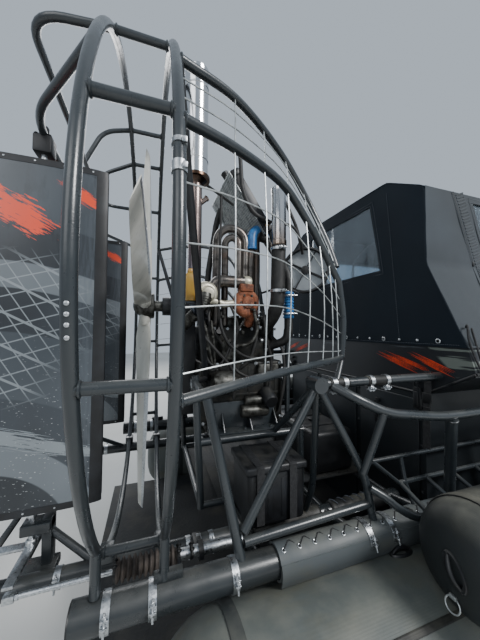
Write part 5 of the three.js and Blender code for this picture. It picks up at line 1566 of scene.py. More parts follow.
    blue = Form()
    profile = []
    for k in range(9):
        z = 1.52 + k * 0.0165
        profile += [(0.026, z), (0.0305, z + 0.005), (0.0305, z + 0.0095), (0.026, z + 0.0145)]
    blue.turned(profile, (0.675, -0.25, 0), "z", 32)
    elbow = [(0.472, -0.2, 1.905), (0.478, -0.195, 1.985), (0.52, -0.17, 2.03), (0.575, -0.14, 2.025)]
    blue.tube(bent(elbow, 0.05, 10), 0.029, 26)
    for spot, along in ((elbow[0], (0, 0, 1)), (elbow[-1], (1, 0.5, 0))):
        blue.turned([(0.029, -0.006), (0.0315, -0.004), (0.0315, 0.008), (0.029, 0.01)], spot, along, 26)
    blue.piece("silicone_hoses", "blue", slot="black_plastic")
    cap = Form()
    cap.turned([(0.02, 0.0), (0.034, 0.003), (0.036, 0.01), (0.034, 0.022), (0.02, 0.03), (0.004, 0.031)],
        (0.565, -0.18, 2.035), (0.2, -0.35, 1), 30)
    cap.piece("filler_cap", "brass", slot="engine_metal")
    hoses = pipes([
        ([(0.675, -0.25, 1.53), (0.675, -0.25, 1.4), (0.6, -0.16, 1.36), (0.58, -0.13, 1.4)], 0.024, 0.06,
        18),
        ([(0.675, -0.25, 1.66), (0.675, -0.25, 1.76), (0.64, -0.16, 1.9), (0.575, -0.12, 2.02)], 0.0235,
        0.07, 18),
        ([(0.53, -0.165, 1.99), (0.58, -0.16, 1.98), (0.56, -0.1, 2.02)], 0.024, 0.03, 18),
        ([(0.4, 0.12, 2.31), (0.36, 0.16, 2.2), (0.3, 0.17, 1.8), (0.3, 0.13, 1.46)], 0.02, 0.09, 16),
        ([(0.25, -0.19, 1.59), (0.22, -0.235, 1.5), (0.3, -0.225, 1.38), (0.33, -0.19, 1.35)], 0.009, 0.05,
        12),
        ([(0.5, -0.19, 1.5), (0.49, -0.24, 1.42), (0.46, -0.235, 1.3), (0.4, -0.2, 1.24)], 0.011, 0.05, 12),
        ([(0.36, -0.2, 1.3), (0.37, -0.245, 1.24), (0.45, -0.25, 1.2), (0.52, -0.23, 1.21)], 0.008, 0.04,
        12),
        ([(0.22, -0.16, 1.45), (0.21, -0.22, 1.4), (0.22, -0.24, 1.3), (0.27, -0.255, 1.25)], 0.0085, 0.04,
        12),
        ([(0.61, -0.16, 1.42), (0.65, -0.23, 1.36), (0.66, -0.24, 1.2), (0.63, -0.22, 1.0),
        (0.6, -0.2, 0.98)], 0.009, 0.07, 12),
    ])
    hoses.piece("engine_hoses", "hose", slot="black_plastic")
    fittings = Form()
    for x, y, z in ((0.49, -0.23, 1.5), (0.51, -0.225, 1.46), (0.5, -0.235, 1.54), (0.53, -0.2, 1.39),
            (0.57, -0.19, 1.34)):
        fittings.turned([(0.012, 0), (0.014, 0.003), (0.014, 0.014), (0.009, 0.018)], (x, y, z),
            (0.2, -0.4, 1), 12)
    for z in (1.545, 1.645):
        clamp_band(fittings, (0.675, -0.25, z), (0, 0, 1), (0, -1, 0), 0.0306, 0.01)
    fittings.piece("hose_fittings", "zinc", slot="zinc")

    shroud, core = Form(), Form()
    section = ((0.132, -0.022), (0.143, -0.026), (0.143, 0.022), (0.132, 0.022))
    middle, axis = Vector((0.86, -0.13, 1.83)), Vector((-0.62, -0.78, 0.05)).normalized()
    across = axis.cross(Vector((0, 0, 1))).normalized()
    rise = across.cross(axis)
    band = []
    for k in range(56):
        a = 2 * math.pi * k / 56
        ray = across * math.cos(a) + rise * math.sin(a)
        band.append([middle + ray * r + axis * d for r, d in section])
    shroud.skin(band, closed_along=True)
    for degrees in (28, 118, 208, 298):
        a = math.radians(degrees)
        ray = across * math.cos(a) + rise * math.sin(a)
        shroud.tube([middle + ray * 0.012, middle + ray * 0.136], 0.0065 if degrees in (28, 208) else 0.0035,
            10)
    shroud.turned([(0.004, -0.016), (0.026, -0.012), (0.026, 0.012), (0.004, 0.016)], middle, axis, 24)
    core.turned([(0.004, -0.02), (0.1315, -0.02), (0.1315, -0.008), (0.004, -0.008)], middle, axis, 56)
    for side in (-1, 1):
        shroud.tube([middle + across * (0.14 * side) - rise * 0.02, Vector((0.699, 0.19 * side * -1, 1.72))],
            0.008, 10)
    shroud.piece("cooler_ring", "plastic", slot="black_plastic")
    # The cooler's core takes the lightened fin copy: painted light inside the shaded ring.
    core.piece("cooler_core", "painted_light_core", slot="radiator_core")

    # Stay between the tall stack and the radiator, and the black hoses beside and above it
    stay = pipes([
        ([(0.185, -0.37, 2.125), (0.36, -0.214, 2.13)], 0.007, BEND, 10),
        ([(0.275, -0.29, 2.127), (0.275, -0.25, 1.5), (0.29, -0.15, 1.45)], 0.0065, 0.06, 10),
        ([(0.385, -0.25, 2.4), (0.4, -0.25, 2.19), (0.46, -0.25, 2.08), (0.575, -0.23, 2.055)], 0.0115, 0.1,
        14),
        ([(0.63, -0.2, 2.28), (0.68, -0.2, 2.21), (0.76, -0.2, 2.06), (0.81, -0.17, 1.94)], 0.0095, 0.1, 14),
        ([(0.64, -0.2, 2.075), (0.74, -0.2, 2.07), (0.79, -0.2, 1.98), (0.82, -0.16, 1.92)], 0.008, 0.05,
        12),
    ])
    stay.piece("stack_stay_and_breather", "hose", slot="black_plastic")

    # Small lines and their bright unions low on the engine's starboard side
    lines = pipes([
        ([(0.47, -0.25, 1.55), (0.49, -0.26, 1.45), (0.45, -0.26, 1.38), (0.37, -0.25, 1.37)], 0.0095, 0.05,
        12),
        ([(0.2, -0.24, 1.5), (0.22, -0.26, 1.42), (0.24, -0.25, 1.3), (0.27, -0.24, 1.22)], 0.007, 0.04, 10),
        ([(0.24, -0.24, 1.5), (0.25, -0.26, 1.4), (0.26, -0.25, 1.27), (0.24, -0.24, 1.15)], 0.0065, 0.04,
        10),
    ])
    lines.piece("braided_lines", "alloy", slot="engine_metal")
    looms = pipes([
        ([(0.3, -0.2, 1.56), (0.28, -0.26, 1.48), (0.32, -0.27, 1.38), (0.42, -0.25, 1.31),
        (0.52, -0.23, 1.3)], 0.008, 0.05, 10),
        ([(0.19, -0.2, 1.56), (0.18, -0.25, 1.45), (0.25, -0.27, 1.36), (0.36, -0.26, 1.25),
        (0.36, -0.24, 1.1)], 0.009, 0.06, 10),
        ([(0.54, -0.2, 1.6), (0.52, -0.27, 1.52), (0.53, -0.27, 1.4), (0.58, -0.24, 1.3),
        (0.56, -0.24, 1.1)], 0.0075, 0.06, 10),
        ([(0.33, -0.19, 1.62), (0.35, -0.25, 1.56), (0.38, -0.27, 1.46), (0.33, -0.26, 1.33)], 0.0065, 0.05,
        10),
        ([(0.2, -0.23, 1.3), (0.24, -0.27, 1.24), (0.3, -0.27, 1.3), (0.36, -0.25, 1.42),
        (0.42, -0.22, 1.5)], 0.0055, 0.05, 10),
    ])
    looms.piece("wiring_looms", "hose", slot="black_plastic")
    unions = Form()
    for x, y, z in (
        (0.47, -0.25, 1.56), (0.488, -0.262, 1.49), (0.37, -0.252, 1.37), (0.205, -0.25, 1.47),
        (0.243, -0.26, 1.42),
        (0.265, -0.255, 1.24), (0.3, -0.24, 1.52), (0.22, -0.25, 1.36), (0.33, -0.262, 1.4),
        (0.41, -0.24, 1.44),
    ):
        unions.turned([(0.007, -0.009), (0.0098, -0.006), (0.0098, 0.006), (0.007, 0.009)], (x, y, z),
            (0.2, 0.1, 1), 10)
    unions.piece("line_unions", "alloy", slot="zinc")


def make_radiator():
    lean = Matrix.Rotation(math.radians(-34), 3, "Y")
    middle = Vector((0.47, 0.0, 2.17))
    core, tanks = Form(), Form()
    core.block((-0.022, -0.208, -0.153), (0.022, 0.208, 0.153), 0.003)
    for low, high in ((0.151, 0.194), (-0.194, -0.151)):
        tanks.block((-0.031, -0.219, low), (0.031, 0.219, high), 0.012, segments=3)
    for y in (-0.214, 0.206):
        tanks.block((-0.026, y, -0.16), (0.026, y + 0.008, 0.16), 0.002)
    tanks.turned([(0.018, 0.0), (0.02, 0.004), (0.02, 0.03), (0.022, 0.034), (0.022, 0.046), (0.018, 0.05)],
        (0.0, -0.1, 0.19), "z", 24)
    mesh = Form()
    for k in range(33):
        y = -0.2133 + 0.01333 * k
        mesh.tube([(-0.0335, y, -0.192), (-0.0335, y, 0.192)], 0.0022, 5)
    for k in range(29):
        z = -0.1867 + 0.01333 * k
        mesh.tube([(-0.0335, -0.218, z), (-0.0335, 0.218, z)], 0.0022, 5)
    for form, name, finish in ((core, "radiator_core", "core"), (tanks, "radiator_tanks", "plastic"),
            (mesh, "radiator_mesh", "wire")):
        form.turn(lean, (0, 0, 0))
        if name == "radiator_core":
            form.piece(name, finish, stands_for="radiator", slot="radiator_core", shift=MIDDLE + middle)
        else:
            form.piece(name, finish, slot="radiator_core", shift=MIDDLE + middle)
    posts = Form()
    for y in (-0.19, 0.19):
        posts.tube(bent([(0.699, y, 0.945), (0.7, y, 1.7), (0.588, y, 2.03)], 0.12), 0.014, 16)
        posts.turned([(0.017, -0.012), (0.019, 0.0), (0.017, 0.012)], (0.699, y, 0.958), "z", 18)
    posts.piece("radiator_posts", "paint", slot="frame_paint")


make_engine()
make_radiator()


def make_engine_bay():
    """Battery box, fuel tank, tray, drive housing and engine feet."""
    box = Form()
    box.block((0.312, -0.598, 0.692), (0.558, -0.397, 0.9), 0.016, segments=3)
    for k in range(4):
        x = 0.335 + k * 0.058
        box.block((x, -0.6, 0.72), (x + 0.022, -0.596, 0.87), 0.002)
    box.block((0.302, -0.608, 0.892), (0.568, -0.387, 0.924), 0.01, segments=3)
    box.block((0.34, -0.57, 0.9235), (0.53, -0.425, 0.9255), 0.001)
    box.block((0.322, -0.523, 0.652), (0.548, -0.477, 0.694), 0.004)
    box.piece("battery_case", "plastic", stands_for="battery_box", slot="black_plastic")
    straps = Form()
    for x in (0.36, 0.5):
        section = bent([(x, -0.6095, 0.71), (x, -0.6095, 0.9262), (x, -0.3855, 0.9262), (x, -0.3855, 0.86)],
            0.012, 5)
        outer, inner = [], []
        for p in section:
            away = Vector((0, p.y + 0.4975, p.z - 0.8)).normalized() * 0.0008
            outer.append(p + away)
            inner.append(p - away)
        straps.skin([[Vector((q.x - 0.016, q.y, q.z)) for q in (a, b)] + [Vector((q.x + 0.016, q.y, q.z))
            for q in (b, a)] for a, b in zip(outer, inner)])
    straps.piece("battery_straps", "webbing", slot="black_plastic")

    tank = Form()
    tank.block((0.802, -0.288, 0.6535), (1.078, 0.288, 0.886), 0.03, segments=4)
    for y in (-0.18, 0.0, 0.18):
        tank.block((0.8, y - 0.014, 0.67), (0.806, y + 0.014, 0.87), 0.003)
        tank.block((0.82, y - 0.014, 0.884), (1.06, y + 0.014, 0.8895), 0.003)
    tank.turned([(0.032, 0.884), (0.034, 0.888), (0.034, 0.897), (0.028, 0.8995)], (0.94, -0.09, 0), "z", 32)
    tank.piece("fuel_tank_shell", "tank", stands_for="fuel_tank", slot="tank_black")

    tray = Form()
    tray.block((0.2, -0.305, 0.6403), (1.18, 0.305, 0.6443), 0.001)
    for y0, y1 in ((-0.305, -0.301), (0.301, 0.305)):
        tray.block((0.2, y0, 0.6403), (1.18, y1, 0.6523), 0.001)
    for k in range(12):
        x = 0.24 + 0.08 * k
        tray.block((x, -0.28, 0.6438), (x + 0.03, 0.28, 0.6458), 0.0008)
    tray.piece("engine_tray_panel", "deck", stands_for="engine_tray", slot="slate_skin")

    housing = Form()
    outline = [(-0.15, 1.01), (0.15, 1.01), (0.12, 1.6), (0.06, 1.7), (-0.06, 1.7), (-0.12, 1.6)]
    housing.plate(outline, 0.064, 0.1795, "x", 0.008)
    housing.plate([(y * 0.82, 1.33 + (z - 1.33) * 0.86) for y, z in outline], 0.06, 0.066, "x", 0.002)
    housing.turned([(0.031, 0.0085), (0.05, 0.009), (0.0515, 0.012), (0.0515, 0.064)], (0, 0, 1.585), "x",
        40)
    housing.turned([(0.07, 0.058), (0.075, 0.058), (0.075, 0.064)], (0, 0, 1.585), "x", 40)
    housing.piece("belt_drive_cover", "plastic", stands_for="drive_housing", slot="black_plastic")
    screws = Form()
    for y, z in ((-0.13, 1.04), (0.13, 1.04), (-0.124, 1.3), (0.124, 1.3), (-0.108, 1.57), (0.108, 1.57),
            (-0.05, 1.68), (0.05, 1.68)):
        screws.bolt((0.0642, y * 0.97, z), (-1, 0, 0), 0.006, 0.005)
    for k in range(4):
        a = math.radians(90 * k + 45)
        screws.bolt((0.0582, 0.063 * math.cos(a), 1.585 + 0.063 * math.sin(a)), (-1, 0, 0), 0.0055, 0.005)
    screws.piece("drive_cover_screws", "zinc", slot="zinc")

    for side, sign in SIDES:
        foot = Form()
        lo, hi = sorted((sign * 0.2153, sign * 0.3))
        foot.block((0.23, lo, 0.925), (0.6, hi, 0.948), 0.003)
        lo, hi = sorted((sign * 0.2153, sign * 0.226))
        foot.block((0.23, lo, 0.94), (0.6, hi, 1.08), 0.003)
        for x in (0.27, 0.415, 0.56):
            foot.bolt((x, sign * 0.275, 0.948), (0, 0, 1), 0.008, 0.008)
            foot.bolt((x, sign * 0.226, 1.04), (0, sign, 0), 0.007, 0.007)
            foot.plate([(sign * 0.225, 0.947), (sign * 0.29, 0.947), (sign * 0.225, 1.03)], x + 0.03,
                x + 0.036, "x", 0.0005)
        foot.piece(f"engine_foot_bracket_{side}", "paint", stands_for=f"engine_foot_{side}",
            slot="frame_paint")


make_engine_bay()


# Soft top: canvas panels with clear windows, bindings, snaps and a zip
FOOT_Z, KNEE_Z, EAVES_Z, ROOF_Z = 1.4, 1.78, 2.16, 2.29
SECTION = ((0.812, FOOT_Z), (0.65, KNEE_Z), (0.65, EAVES_Z), (0.43, ROOF_Z))
CABIN_AFT = 1.2
SCREEN_FOOT_X, SCREEN_RUN, SCREEN_RISE = 3.96, 0.66, 0.89
SIDE_STEPS, ROOF_STEPS, BOW_SPACING = 108, 88, 0.7
HEM_Z = 1.384
AFT_WINDOW = ((-0.38, 1.8), (-0.31, 2.2), (0.31, 2.2), (0.38, 1.8))
SIDE_WINDOW = ((1.65, 1.83), (1.53, 2.12), (3.15, 2.12), (3.15, 1.83))
SCREEN_LIGHTS = tuple(
    ((sign * 0.03, 1.5), (sign * 0.6, 1.5), (sign * 0.6, 2.13), (sign * 0.03, 2.13)) for sign in (-1, 1)
)
CLOTH = 0.0016


def half_at(z):
    """Half the tent's width at a height."""
    for (wide, low), (narrow, high) in zip(SECTION, SECTION[1:]):
        if z <= high:
            return wide + (narrow - wide) * max(z - low, -0.03) / (high - low)
    return SECTION[-1][0]


def screen_x(z):
    """How far forward the sloping windscreen is at a height."""
    return SCREEN_FOOT_X - SCREEN_RUN * (z - FOOT_Z) / SCREEN_RISE


def levels(heights, step=0.025):
    """Heights with even steps between them."""
    out = [heights[0]]
    for low, high in zip(heights, heights[1:]):
        count = max(1, round((high - low) / step))
        out += [low + (high - low) * (k + 1) / count for k in range(count)]
    return out


def inside(outline, a, b):
    """True where a point lies in a convex outline."""
    turns = []
    for (a0, b0), (a1, b1) in zip(outline, outline[1:] + outline[:1]):
        turns.append((a1 - a0) * (b - b0) - (b1 - b0) * (a - a0))
    return all(t > 0 for t in turns) or all(t < 0 for t in turns)


class Cloth:
    """A sheet from a grid of points, with openings cut into it, creases, and a cloth's thickness."""

    def __init__(self, rows):
        self.mesh = bmesh.new()
        grid = [[self.mesh.verts.new(p) for p in row] for row in rows]
        for low, high in zip(grid, grid[1:]):
            for i in range(len(low) - 1):
                self.mesh.faces.new((low[i], low[i + 1], high[i + 1], high[i]))

    def open(self, outline, axes):
        """Cuts an opening; axes name the two of x, y, z that the outline is given in."""
        first, second = ("xyz".index(a) for a in axes)
        for (a0, b0), (a1, b1) in zip(outline, outline[1:] + outline[:1]):
            spot, normal = Vector(), Vector()
            spot[first], spot[second] = a0, b0
            normal[first], normal[second] = b1 - b0, a0 - a1
            parts = list(self.mesh.verts) + list(self.mesh.edges) + list(self.mesh.faces)
            bmesh.ops.bisect_plane(self.mesh, geom=parts, dist=1e-5, plane_co=spot, plane_no=normal)
        gone = []
        for face in self.mesh.faces:
            middle = face.calc_center_median()
            if inside(tuple(outline), middle[first], middle[second]):
                gone.append(face)
        bmesh.ops.delete(self.mesh, geom=gone, context="FACES")
        return self

    def crease(self, depth, size, stretch=(1, 1, 1)):
        """Soft creases along the surface's normal."""
        self.mesh.normal_update()
        moves = []
        for vert in self.mesh.verts:
            p = Vector([c / size * s for c, s in zip(vert.co, stretch)])
            moves.append(vert.normal * (noise.noise(p) + 0.5 * noise.noise(p * 2.3)) * depth)
        for vert, move in zip(self.mesh.verts, moves):
            vert.co += move
        return self

    def piece(self, name, finish, flat, on, thick=CLOTH, replaces=(), slot="tent_fabric", held="stretched",
            go_with=()):
        area = sum(face.calc_area() for face in self.mesh.faces)
        bmesh.ops.recalc_face_normals(self.mesh, faces=self.mesh.faces)
        bmesh.ops.solidify(self.mesh, geom=list(self.mesh.faces), thickness=thick)
        form = Form()
        form.mesh.free()
        form.mesh = self.mesh
        made = form.piece(name, finish, stands_for=replaces, slot=slot)
        return made


def strip(form, points, out, wide, thick):
    """A flat strip along points, lying against a surface that faces out."""
    points = [Vector(p) for p in points]
    out = Vector(out).normalized()
    rings = []
    for i, p in enumerate(points):
        along = (points[min(i + 1, len(points) - 1)] - points[max(i - 1, 0)]).normalized()
        side = along.cross(out).normalized() * wide / 2
        lift = out * thick
        rings.append([p - side, p + side, p + side + lift, p - side + lift])
    return form.skin(rings)


def stitches(form, points, out, pitch=0.009, length=0.0055):
    """A row of thread stitches along a line."""
    points = [Vector(p) for p in points]
    out = Vector(out).normalized()
    for start, end in zip(points, points[1:]):
        span = (end - start).length
        along = (end - start).normalized()
        side = along.cross(out).normalized() * 0.0008
        for k in range(int(span / pitch)):
            a = start + along * (k + 0.2) * pitch
            b = a + along * length
            rings = []
            for p, rise in ((a, 0.0), ((a + b) / 2, 0.0012), (b, 0.0)):
                lift = out * (rise + 0.0002)
                rings.append([p - side + lift, p + side + lift, p + side - out * 0.0004,
                    p - side - out * 0.0004])
            form.skin(rings)
    return form


def snap(form, centre, axis, radius=0.0075):
    """A domed press stud on a flat washer."""
    form.turned(
        [(radius * 1.25, 0), (radius * 1.25, 0.001), (radius, 0.0014), (radius * 0.92, 0.0032),
        (radius * 0.6, 0.0046),
         (radius * 0.2, 0.005)],
        centre, axis, 18,
    )


def ring_eye(form, centre, axis, radius=0.011):
    """A rolled brass eyelet."""
    form.turned(
        [(radius * 0.55, 0), (radius, 0.0004), (radius, 0.0014), (radius * 0.8, 0.0028),
        (radius * 0.58, 0.0022), (radius * 0.55, 0)],
        centre, axis, 20,
    )


def offset(points, move):
    return [Vector(p) + Vector(move) for p in points]


def make_aft_wall():
    aft = CABIN_AFT - 0.003
    heights = levels((HEM_Z, 1.4, 1.78, 2.16, 2.288))
    rows = []
    for z in heights:
        half = half_at(z)
        rows.append([(aft + 0.0006 * math.sin(9 * y + 4 * z), y, z)
            for y in [half * (k / 36 - 1) for k in range(73)]])
    wall = Cloth(rows).open(AFT_WINDOW, "yz").crease(0.0028, 0.22, (1, 1, 0.4))
    trim = Form()
    for inset, width in ((0.014, 0.026),):
        corners = [
            (aft - 0.0004, y + inset * (1 if y > 0 else -1), z + inset * (1 if z > 2 else -1))
            for y, z in AFT_WINDOW
        ]
        corners.append(corners[0])
        for number, (start, end) in enumerate(zip(corners, corners[1:])):
            along = (Vector(end) - Vector(start)).normalized() * width / 2
            strip(trim, [Vector(start) - along, Vector(end) + along], (-1, 0, 0), width,
                0.0012 + 0.0004 * (number % 2))
    edge = [(aft + 0.001, -half_at(z) + 0.002, z) for z in (1.4, 1.78, 2.16)] + [(aft + 0.001, -0.43, 2.287)]
    edge += [(p[0], -p[1], p[2]) for p in reversed(edge)]
    trim.tube(bent(edge, 0.03, 4), 0.0042, 8)
    hem = [(aft - 0.0005, -0.79, HEM_Z + 0.006), (aft - 0.0005, 0.79, HEM_Z + 0.006)]
    strip(trim, hem, (-1, 0, 0), 0.012, 0.0018)
    thread = Form()
    for inset in (0.006, 0.022):
        corners = [
            (aft - 0.0019, y + inset * (1 if y > 0 else -1), z + inset * (1 if z > 2 else -1))
            for y, z in AFT_WINDOW
        ]
        stitches(thread, corners + corners[:1], (-1, 0, 0))
    stitches(thread, offset(hem, (-0.0022, 0, 0.004)), (-1, 0, 0))
    for y in (-0.5, 0.5):
        stitches(thread, [(aft - 0.0018, y, 1.41), (aft - 0.0018, y * 0.86, 2.24)], (-1, 0, 0), 0.011)
    studs = Form()
    for k in range(15):
        y = -0.7 + 0.1 * k
        z = 1.408
        if k % 3 == 0:
            ring_eye(studs, (aft - 0.0022, y, z), (-1, 0, 0), 0.0115)
        else:
            snap(studs, (aft - 0.0022, y, z), (-1, 0, 0), 0.0055)
    # The aft wall's binding takes the darkened copy of the canvas: painted shade.
    pieces = [
        trim.piece("aft_wall_binding", "painted_shade_canvas", slot="tent_fabric"),
        thread.piece("aft_wall_stitching", "thread", slot="tent_fabric"),
        studs.piece("aft_wall_studs", "zinc", slot="zinc"),
    ]
    pane_rows = []
    for k in range(25):
        z = 1.798 + 0.404 * k / 24
        half = 0.382 - 0.07 * (z - 1.8) / 0.4
        pane_rows.append([(CABIN_AFT + 0.002, half * (i / 20 - 1), z) for i in range(41)])
    pane = Cloth(pane_rows).crease(0.0045, 0.13, (1, 1.6, 0.35))
    pieces.append(pane.piece("aft_window_vinyl", "clear", None, None, 0.0008, "window_aft", "clear_vinyl"))
    # The wall itself takes the same darkened canvas: painted shade.
    wall.piece("aft_wall_canvas", "painted_shade_canvas", (1.63, 0.91), ["coaming", "roof_canvas"], replaces="tent_aft_wall",
        go_with=pieces)


def make_tent_sides():
    for side, sign in SIDES:
        heights = levels((HEM_Z, FOOT_Z, KNEE_Z, EAVES_Z))
        rows = []
        for z in heights:
            y = -half_at(z) - 0.003
            far = screen_x(z) - 0.004
            row = []
            rise = min(max((z - FOOT_Z) / 0.38, 0), 1)
            for k in range(SIDE_STEPS + 1):
                x = CABIN_AFT - 0.002 + (far - CABIN_AFT) * k / SIDE_STEPS
                sag = 0.006 * math.sin(math.pi * rise) * math.sin(math.pi * k / SIDE_STEPS)
                row.append((x, y + sag, z))
            rows.append(flip(row, sign))
        panel = Cloth(rows).open(SIDE_WINDOW, "xz").crease(0.0032, 0.2, (0.5, 1, 1))
        out = (0, sign, 0)
        face = sign * 0.6534
        trim, thread, studs = Form(), Form(), Form()
        middle = (2.37, 1.975)
        for inset, form in ((0.014, trim), (0.006, thread), (0.022, thread)):
            corners = []
            for x, z in SIDE_WINDOW:
                corners.append((x + math.copysign(inset, x - middle[0]), face,
                    z + math.copysign(inset, z - middle[1])))
            corners.append(corners[0])
            if form is trim:
                for number, (start, end) in enumerate(zip(corners, corners[1:])):
                    along = (Vector(end) - Vector(start)).normalized() * 0.013
                    strip(trim, [Vector(start) - along, Vector(end) + along], out, 0.026,
                        0.0012 + 0.0004 * (number % 2))
            else:
                stitches(thread, offset(corners, (0, sign * 0.0016, 0)), out)
        # The zip runs down from the eaves ahead of the window, with a puckered tape beside it
        for start, end, wide in (((1.385, 2.158), (1.53, 1.79), 0.016),
                ((1.432, 2.158), (1.577, 1.79), 0.056)):
            line = []
            for k in range(121):
                t = k / 120
                ripple = 0.0022 * math.sin(k * 1.3) + 0.001 * math.sin(k * 2.9) if wide > 0.02 else 0.0
                line.append((start[0] + (end[0] - start[0]) * t, face + sign * ripple,
                    start[1] + (end[1] - start[1]) * t))
            strip(trim, line, out, wide, 0.0022)
            for shift in (-wide / 2 - 0.003, wide / 2 + 0.003):
                stitches(thread, offset([line[0], line[-1]], (shift, sign * 0.0012, 0)), out)
        teeth = Form()
        for k in range(120):
            t = k / 119
            spot = Vector((1.385 + 0.145 * t, face + sign * 0.0022, 2.158 - 0.368 * t))
            teeth.block(spot - Vector((0.0026, 0.0008, 0.0009)), spot + Vector((0.0026, 0.0012, 0.0009)),
                0.0003)
        teeth.block((1.518, min(face, face + sign * 0.006), 1.79),
            (1.532, max(face, face + sign * 0.006), 1.812), 0.002)
        lower = (0, sign * 0.92, 0.39)
        # Below the knee of the tent the zip follows the slanting lower panel
        for start, wide in ((1.53, 0.016), (1.577, 0.056)):
            line = []
            for k in range(81):
                t = k / 80
                ripple = 0.0022 * math.sin(k * 1.3) + 0.001 * math.sin(k * 2.9) if wide > 0.02 else 0.0
                z = 1.776 - 0.226 * t
                line.append((start - 0.044 * t, sign * (half_at(z) + 0.0036 + ripple), z))
            strip(trim, line, lower, wide, 0.0022)
        hem_y = -half_at(HEM_Z) - 0.0034
        for k in range(18):
            x = 1.33 + 0.145 * k
            spot = flip([(x, hem_y - 0.0016 + 0.010 * 0.42, HEM_Z + 0.018)], sign)[0]
            snap(studs, spot, lower)
        hem = flip([(1.21, hem_y - 0.0004, HEM_Z + 0.004), (3.93, hem_y - 0.0004, HEM_Z + 0.004)], sign)
        trim.tube(hem, 0.0048, 8)
        pieces = [
            trim.piece(f"side_binding_{side}", "canvas", slot="tent_fabric"),
            thread.piece(f"side_stitching_{side}", "thread", slot="tent_fabric"),
            studs.piece(f"side_studs_{side}", "zinc", slot="zinc"),
            teeth.piece(f"side_zip_{side}", "plastic", slot="black_plastic"),
        ]
        pane_rows = []
        for k in range(19):
            z = 1.828 + 0.294 * k / 18
            start = 1.652 - 0.12 * (z - 1.83) / 0.29 - 0.003
            pane_rows.append(flip([(start + (3.153 - start) * i / 80, -0.6475, z) for i in range(81)], sign))
        pane = Cloth(pane_rows).crease(0.004, 0.16, (1.4, 1, 0.5))
        pieces.append(
            pane.piece(f"side_window_vinyl_{side}", "clear", None, None, 0.0008, f"window_side_{side}",
            "clear_vinyl")
        )
        panel.piece(
            f"side_canvas_{side}", "canvas", (2.74, 0.81), ["coaming", "roof_canvas"],
            replaces=f"tent_side_{side}", go_with=pieces,
        )


def make_roof():
    section = bent([(0, -0.652, 2.158), (0, -0.43, 2.2915), (0, 0.43, 2.2915), (0, 0.652, 2.158)], 0.05, 8)
    fine = [section[0]]
    for start, end in zip(section, section[1:]):
        count = max(1, round((end - start).length / 0.03))
        fine += [start.lerp(end, (k + 1) / count) for k in range(count)]
    rows = []
    for p in fine:
        far = screen_x(p.z)
        row = []
        for k in range(ROOF_STEPS + 1):
            x = CABIN_AFT - 0.003 + (far - CABIN_AFT) * k / ROOF_STEPS
            between_bows = abs(math.sin(math.pi * (x - CABIN_AFT) / BOW_SPACING))
            sag = 0.007 * between_bows * max(0.0, 1 - abs(p.y) / 0.5)
            row.append((x, p.y, p.z + 0.0005 - sag))
        rows.append(row)
    roof = Cloth(rows).crease(0.0022, 0.25, (0.6, 1, 1))
    thread = Form()
    for x in (1.9, 2.6):
        for shift in (-0.006, 0.006):
            stitches(thread, [(x + shift, -0.42, 2.2925), (x + shift, 0.42, 2.2925)], (0, 0, 1), 0.011)
    roof.piece(
        "roof_canvas", "canvas", (2.23, 1.38), ["tent_bows"], replaces="tent_roof",
        go_with=[thread.piece("roof_stitching", "thread", slot="tent_fabric")],
    )
    bows = Form()
    for x in (1.225, 1.9, 2.6, 3.26):
        line = [(x, -0.785, 1.42), (x, -0.632, 1.785), (x, -0.632, 2.14), (x, -0.42, 2.268)]
        line += [(p[0], -p[1], p[2]) for p in reversed(line)]
        bows.tube(bent(line, 0.08, 6), 0.011, 12)
    for y, z in ((-0.6325, 2.13), (0.6325, 2.13), (-0.43, 2.2655), (0.43, 2.2655)):
        bows.tube([(1.225, y, z), (3.26, y, z)], 0.009, 10)
    bows.piece("tent_bows", "paint", slot="frame_paint")


def make_windscreen():
    heights = levels((FOOT_Z, KNEE_Z, EAVES_Z, 2.287), 0.03)
    rows = []
    for z in heights:
        half = half_at(z)
        rows.append([(screen_x(z), half * (k / 30 - 1), z) for k in range(61)])
    screen = Cloth(rows)
    for light in SCREEN_LIGHTS:
        screen.open(light, "yz")
    screen.crease(0.0025, 0.2)
    out = Vector((SCREEN_RISE, 0, SCREEN_RUN)).normalized()
    trim, thread = Form(), Form()
    pieces = []
    for (side, _), light in zip(SIDES, SCREEN_LIGHTS):
        inner, outer = light[0][0], light[1][0]
        for (y0, z0), (y1, z1) in zip(light, light[1:] + light[:1]):
            start = Vector((screen_x(z0), y0, z0)) + out * 0.002
            end = Vector((screen_x(z1), y1, z1)) + out * 0.002
            strip(trim, [start, end], out, 0.028, 0.0016)
            stitches(thread, [start + out * 0.0017, end + out * 0.0017], out)
        pane_rows = []
        for k in range(25):
            z = 1.498 + 0.634 * k / 24
            pane_rows.append([(screen_x(z) - 0.002, inner + (outer - inner) * i / 24, z) for i in range(25)])
        pane = Cloth(pane_rows).crease(0.003, 0.2)
        pieces.append(
            pane.piece(f"windscreen_vinyl_{side}", "clear", None, None, 0.001, f"windscreen_{side}",
            "clear_vinyl")
        )
    pieces.append(trim.piece("windscreen_binding", "canvas", slot="tent_fabric"))
    pieces.append(thread.piece("windscreen_stitching", "thread", slot="tent_fabric"))
    screen.piece("windscreen_canvas", "canvas", (1.63, 1.11), ["coaming", "roof_canvas"],
        replaces="windscreen_frame", go_with=pieces)


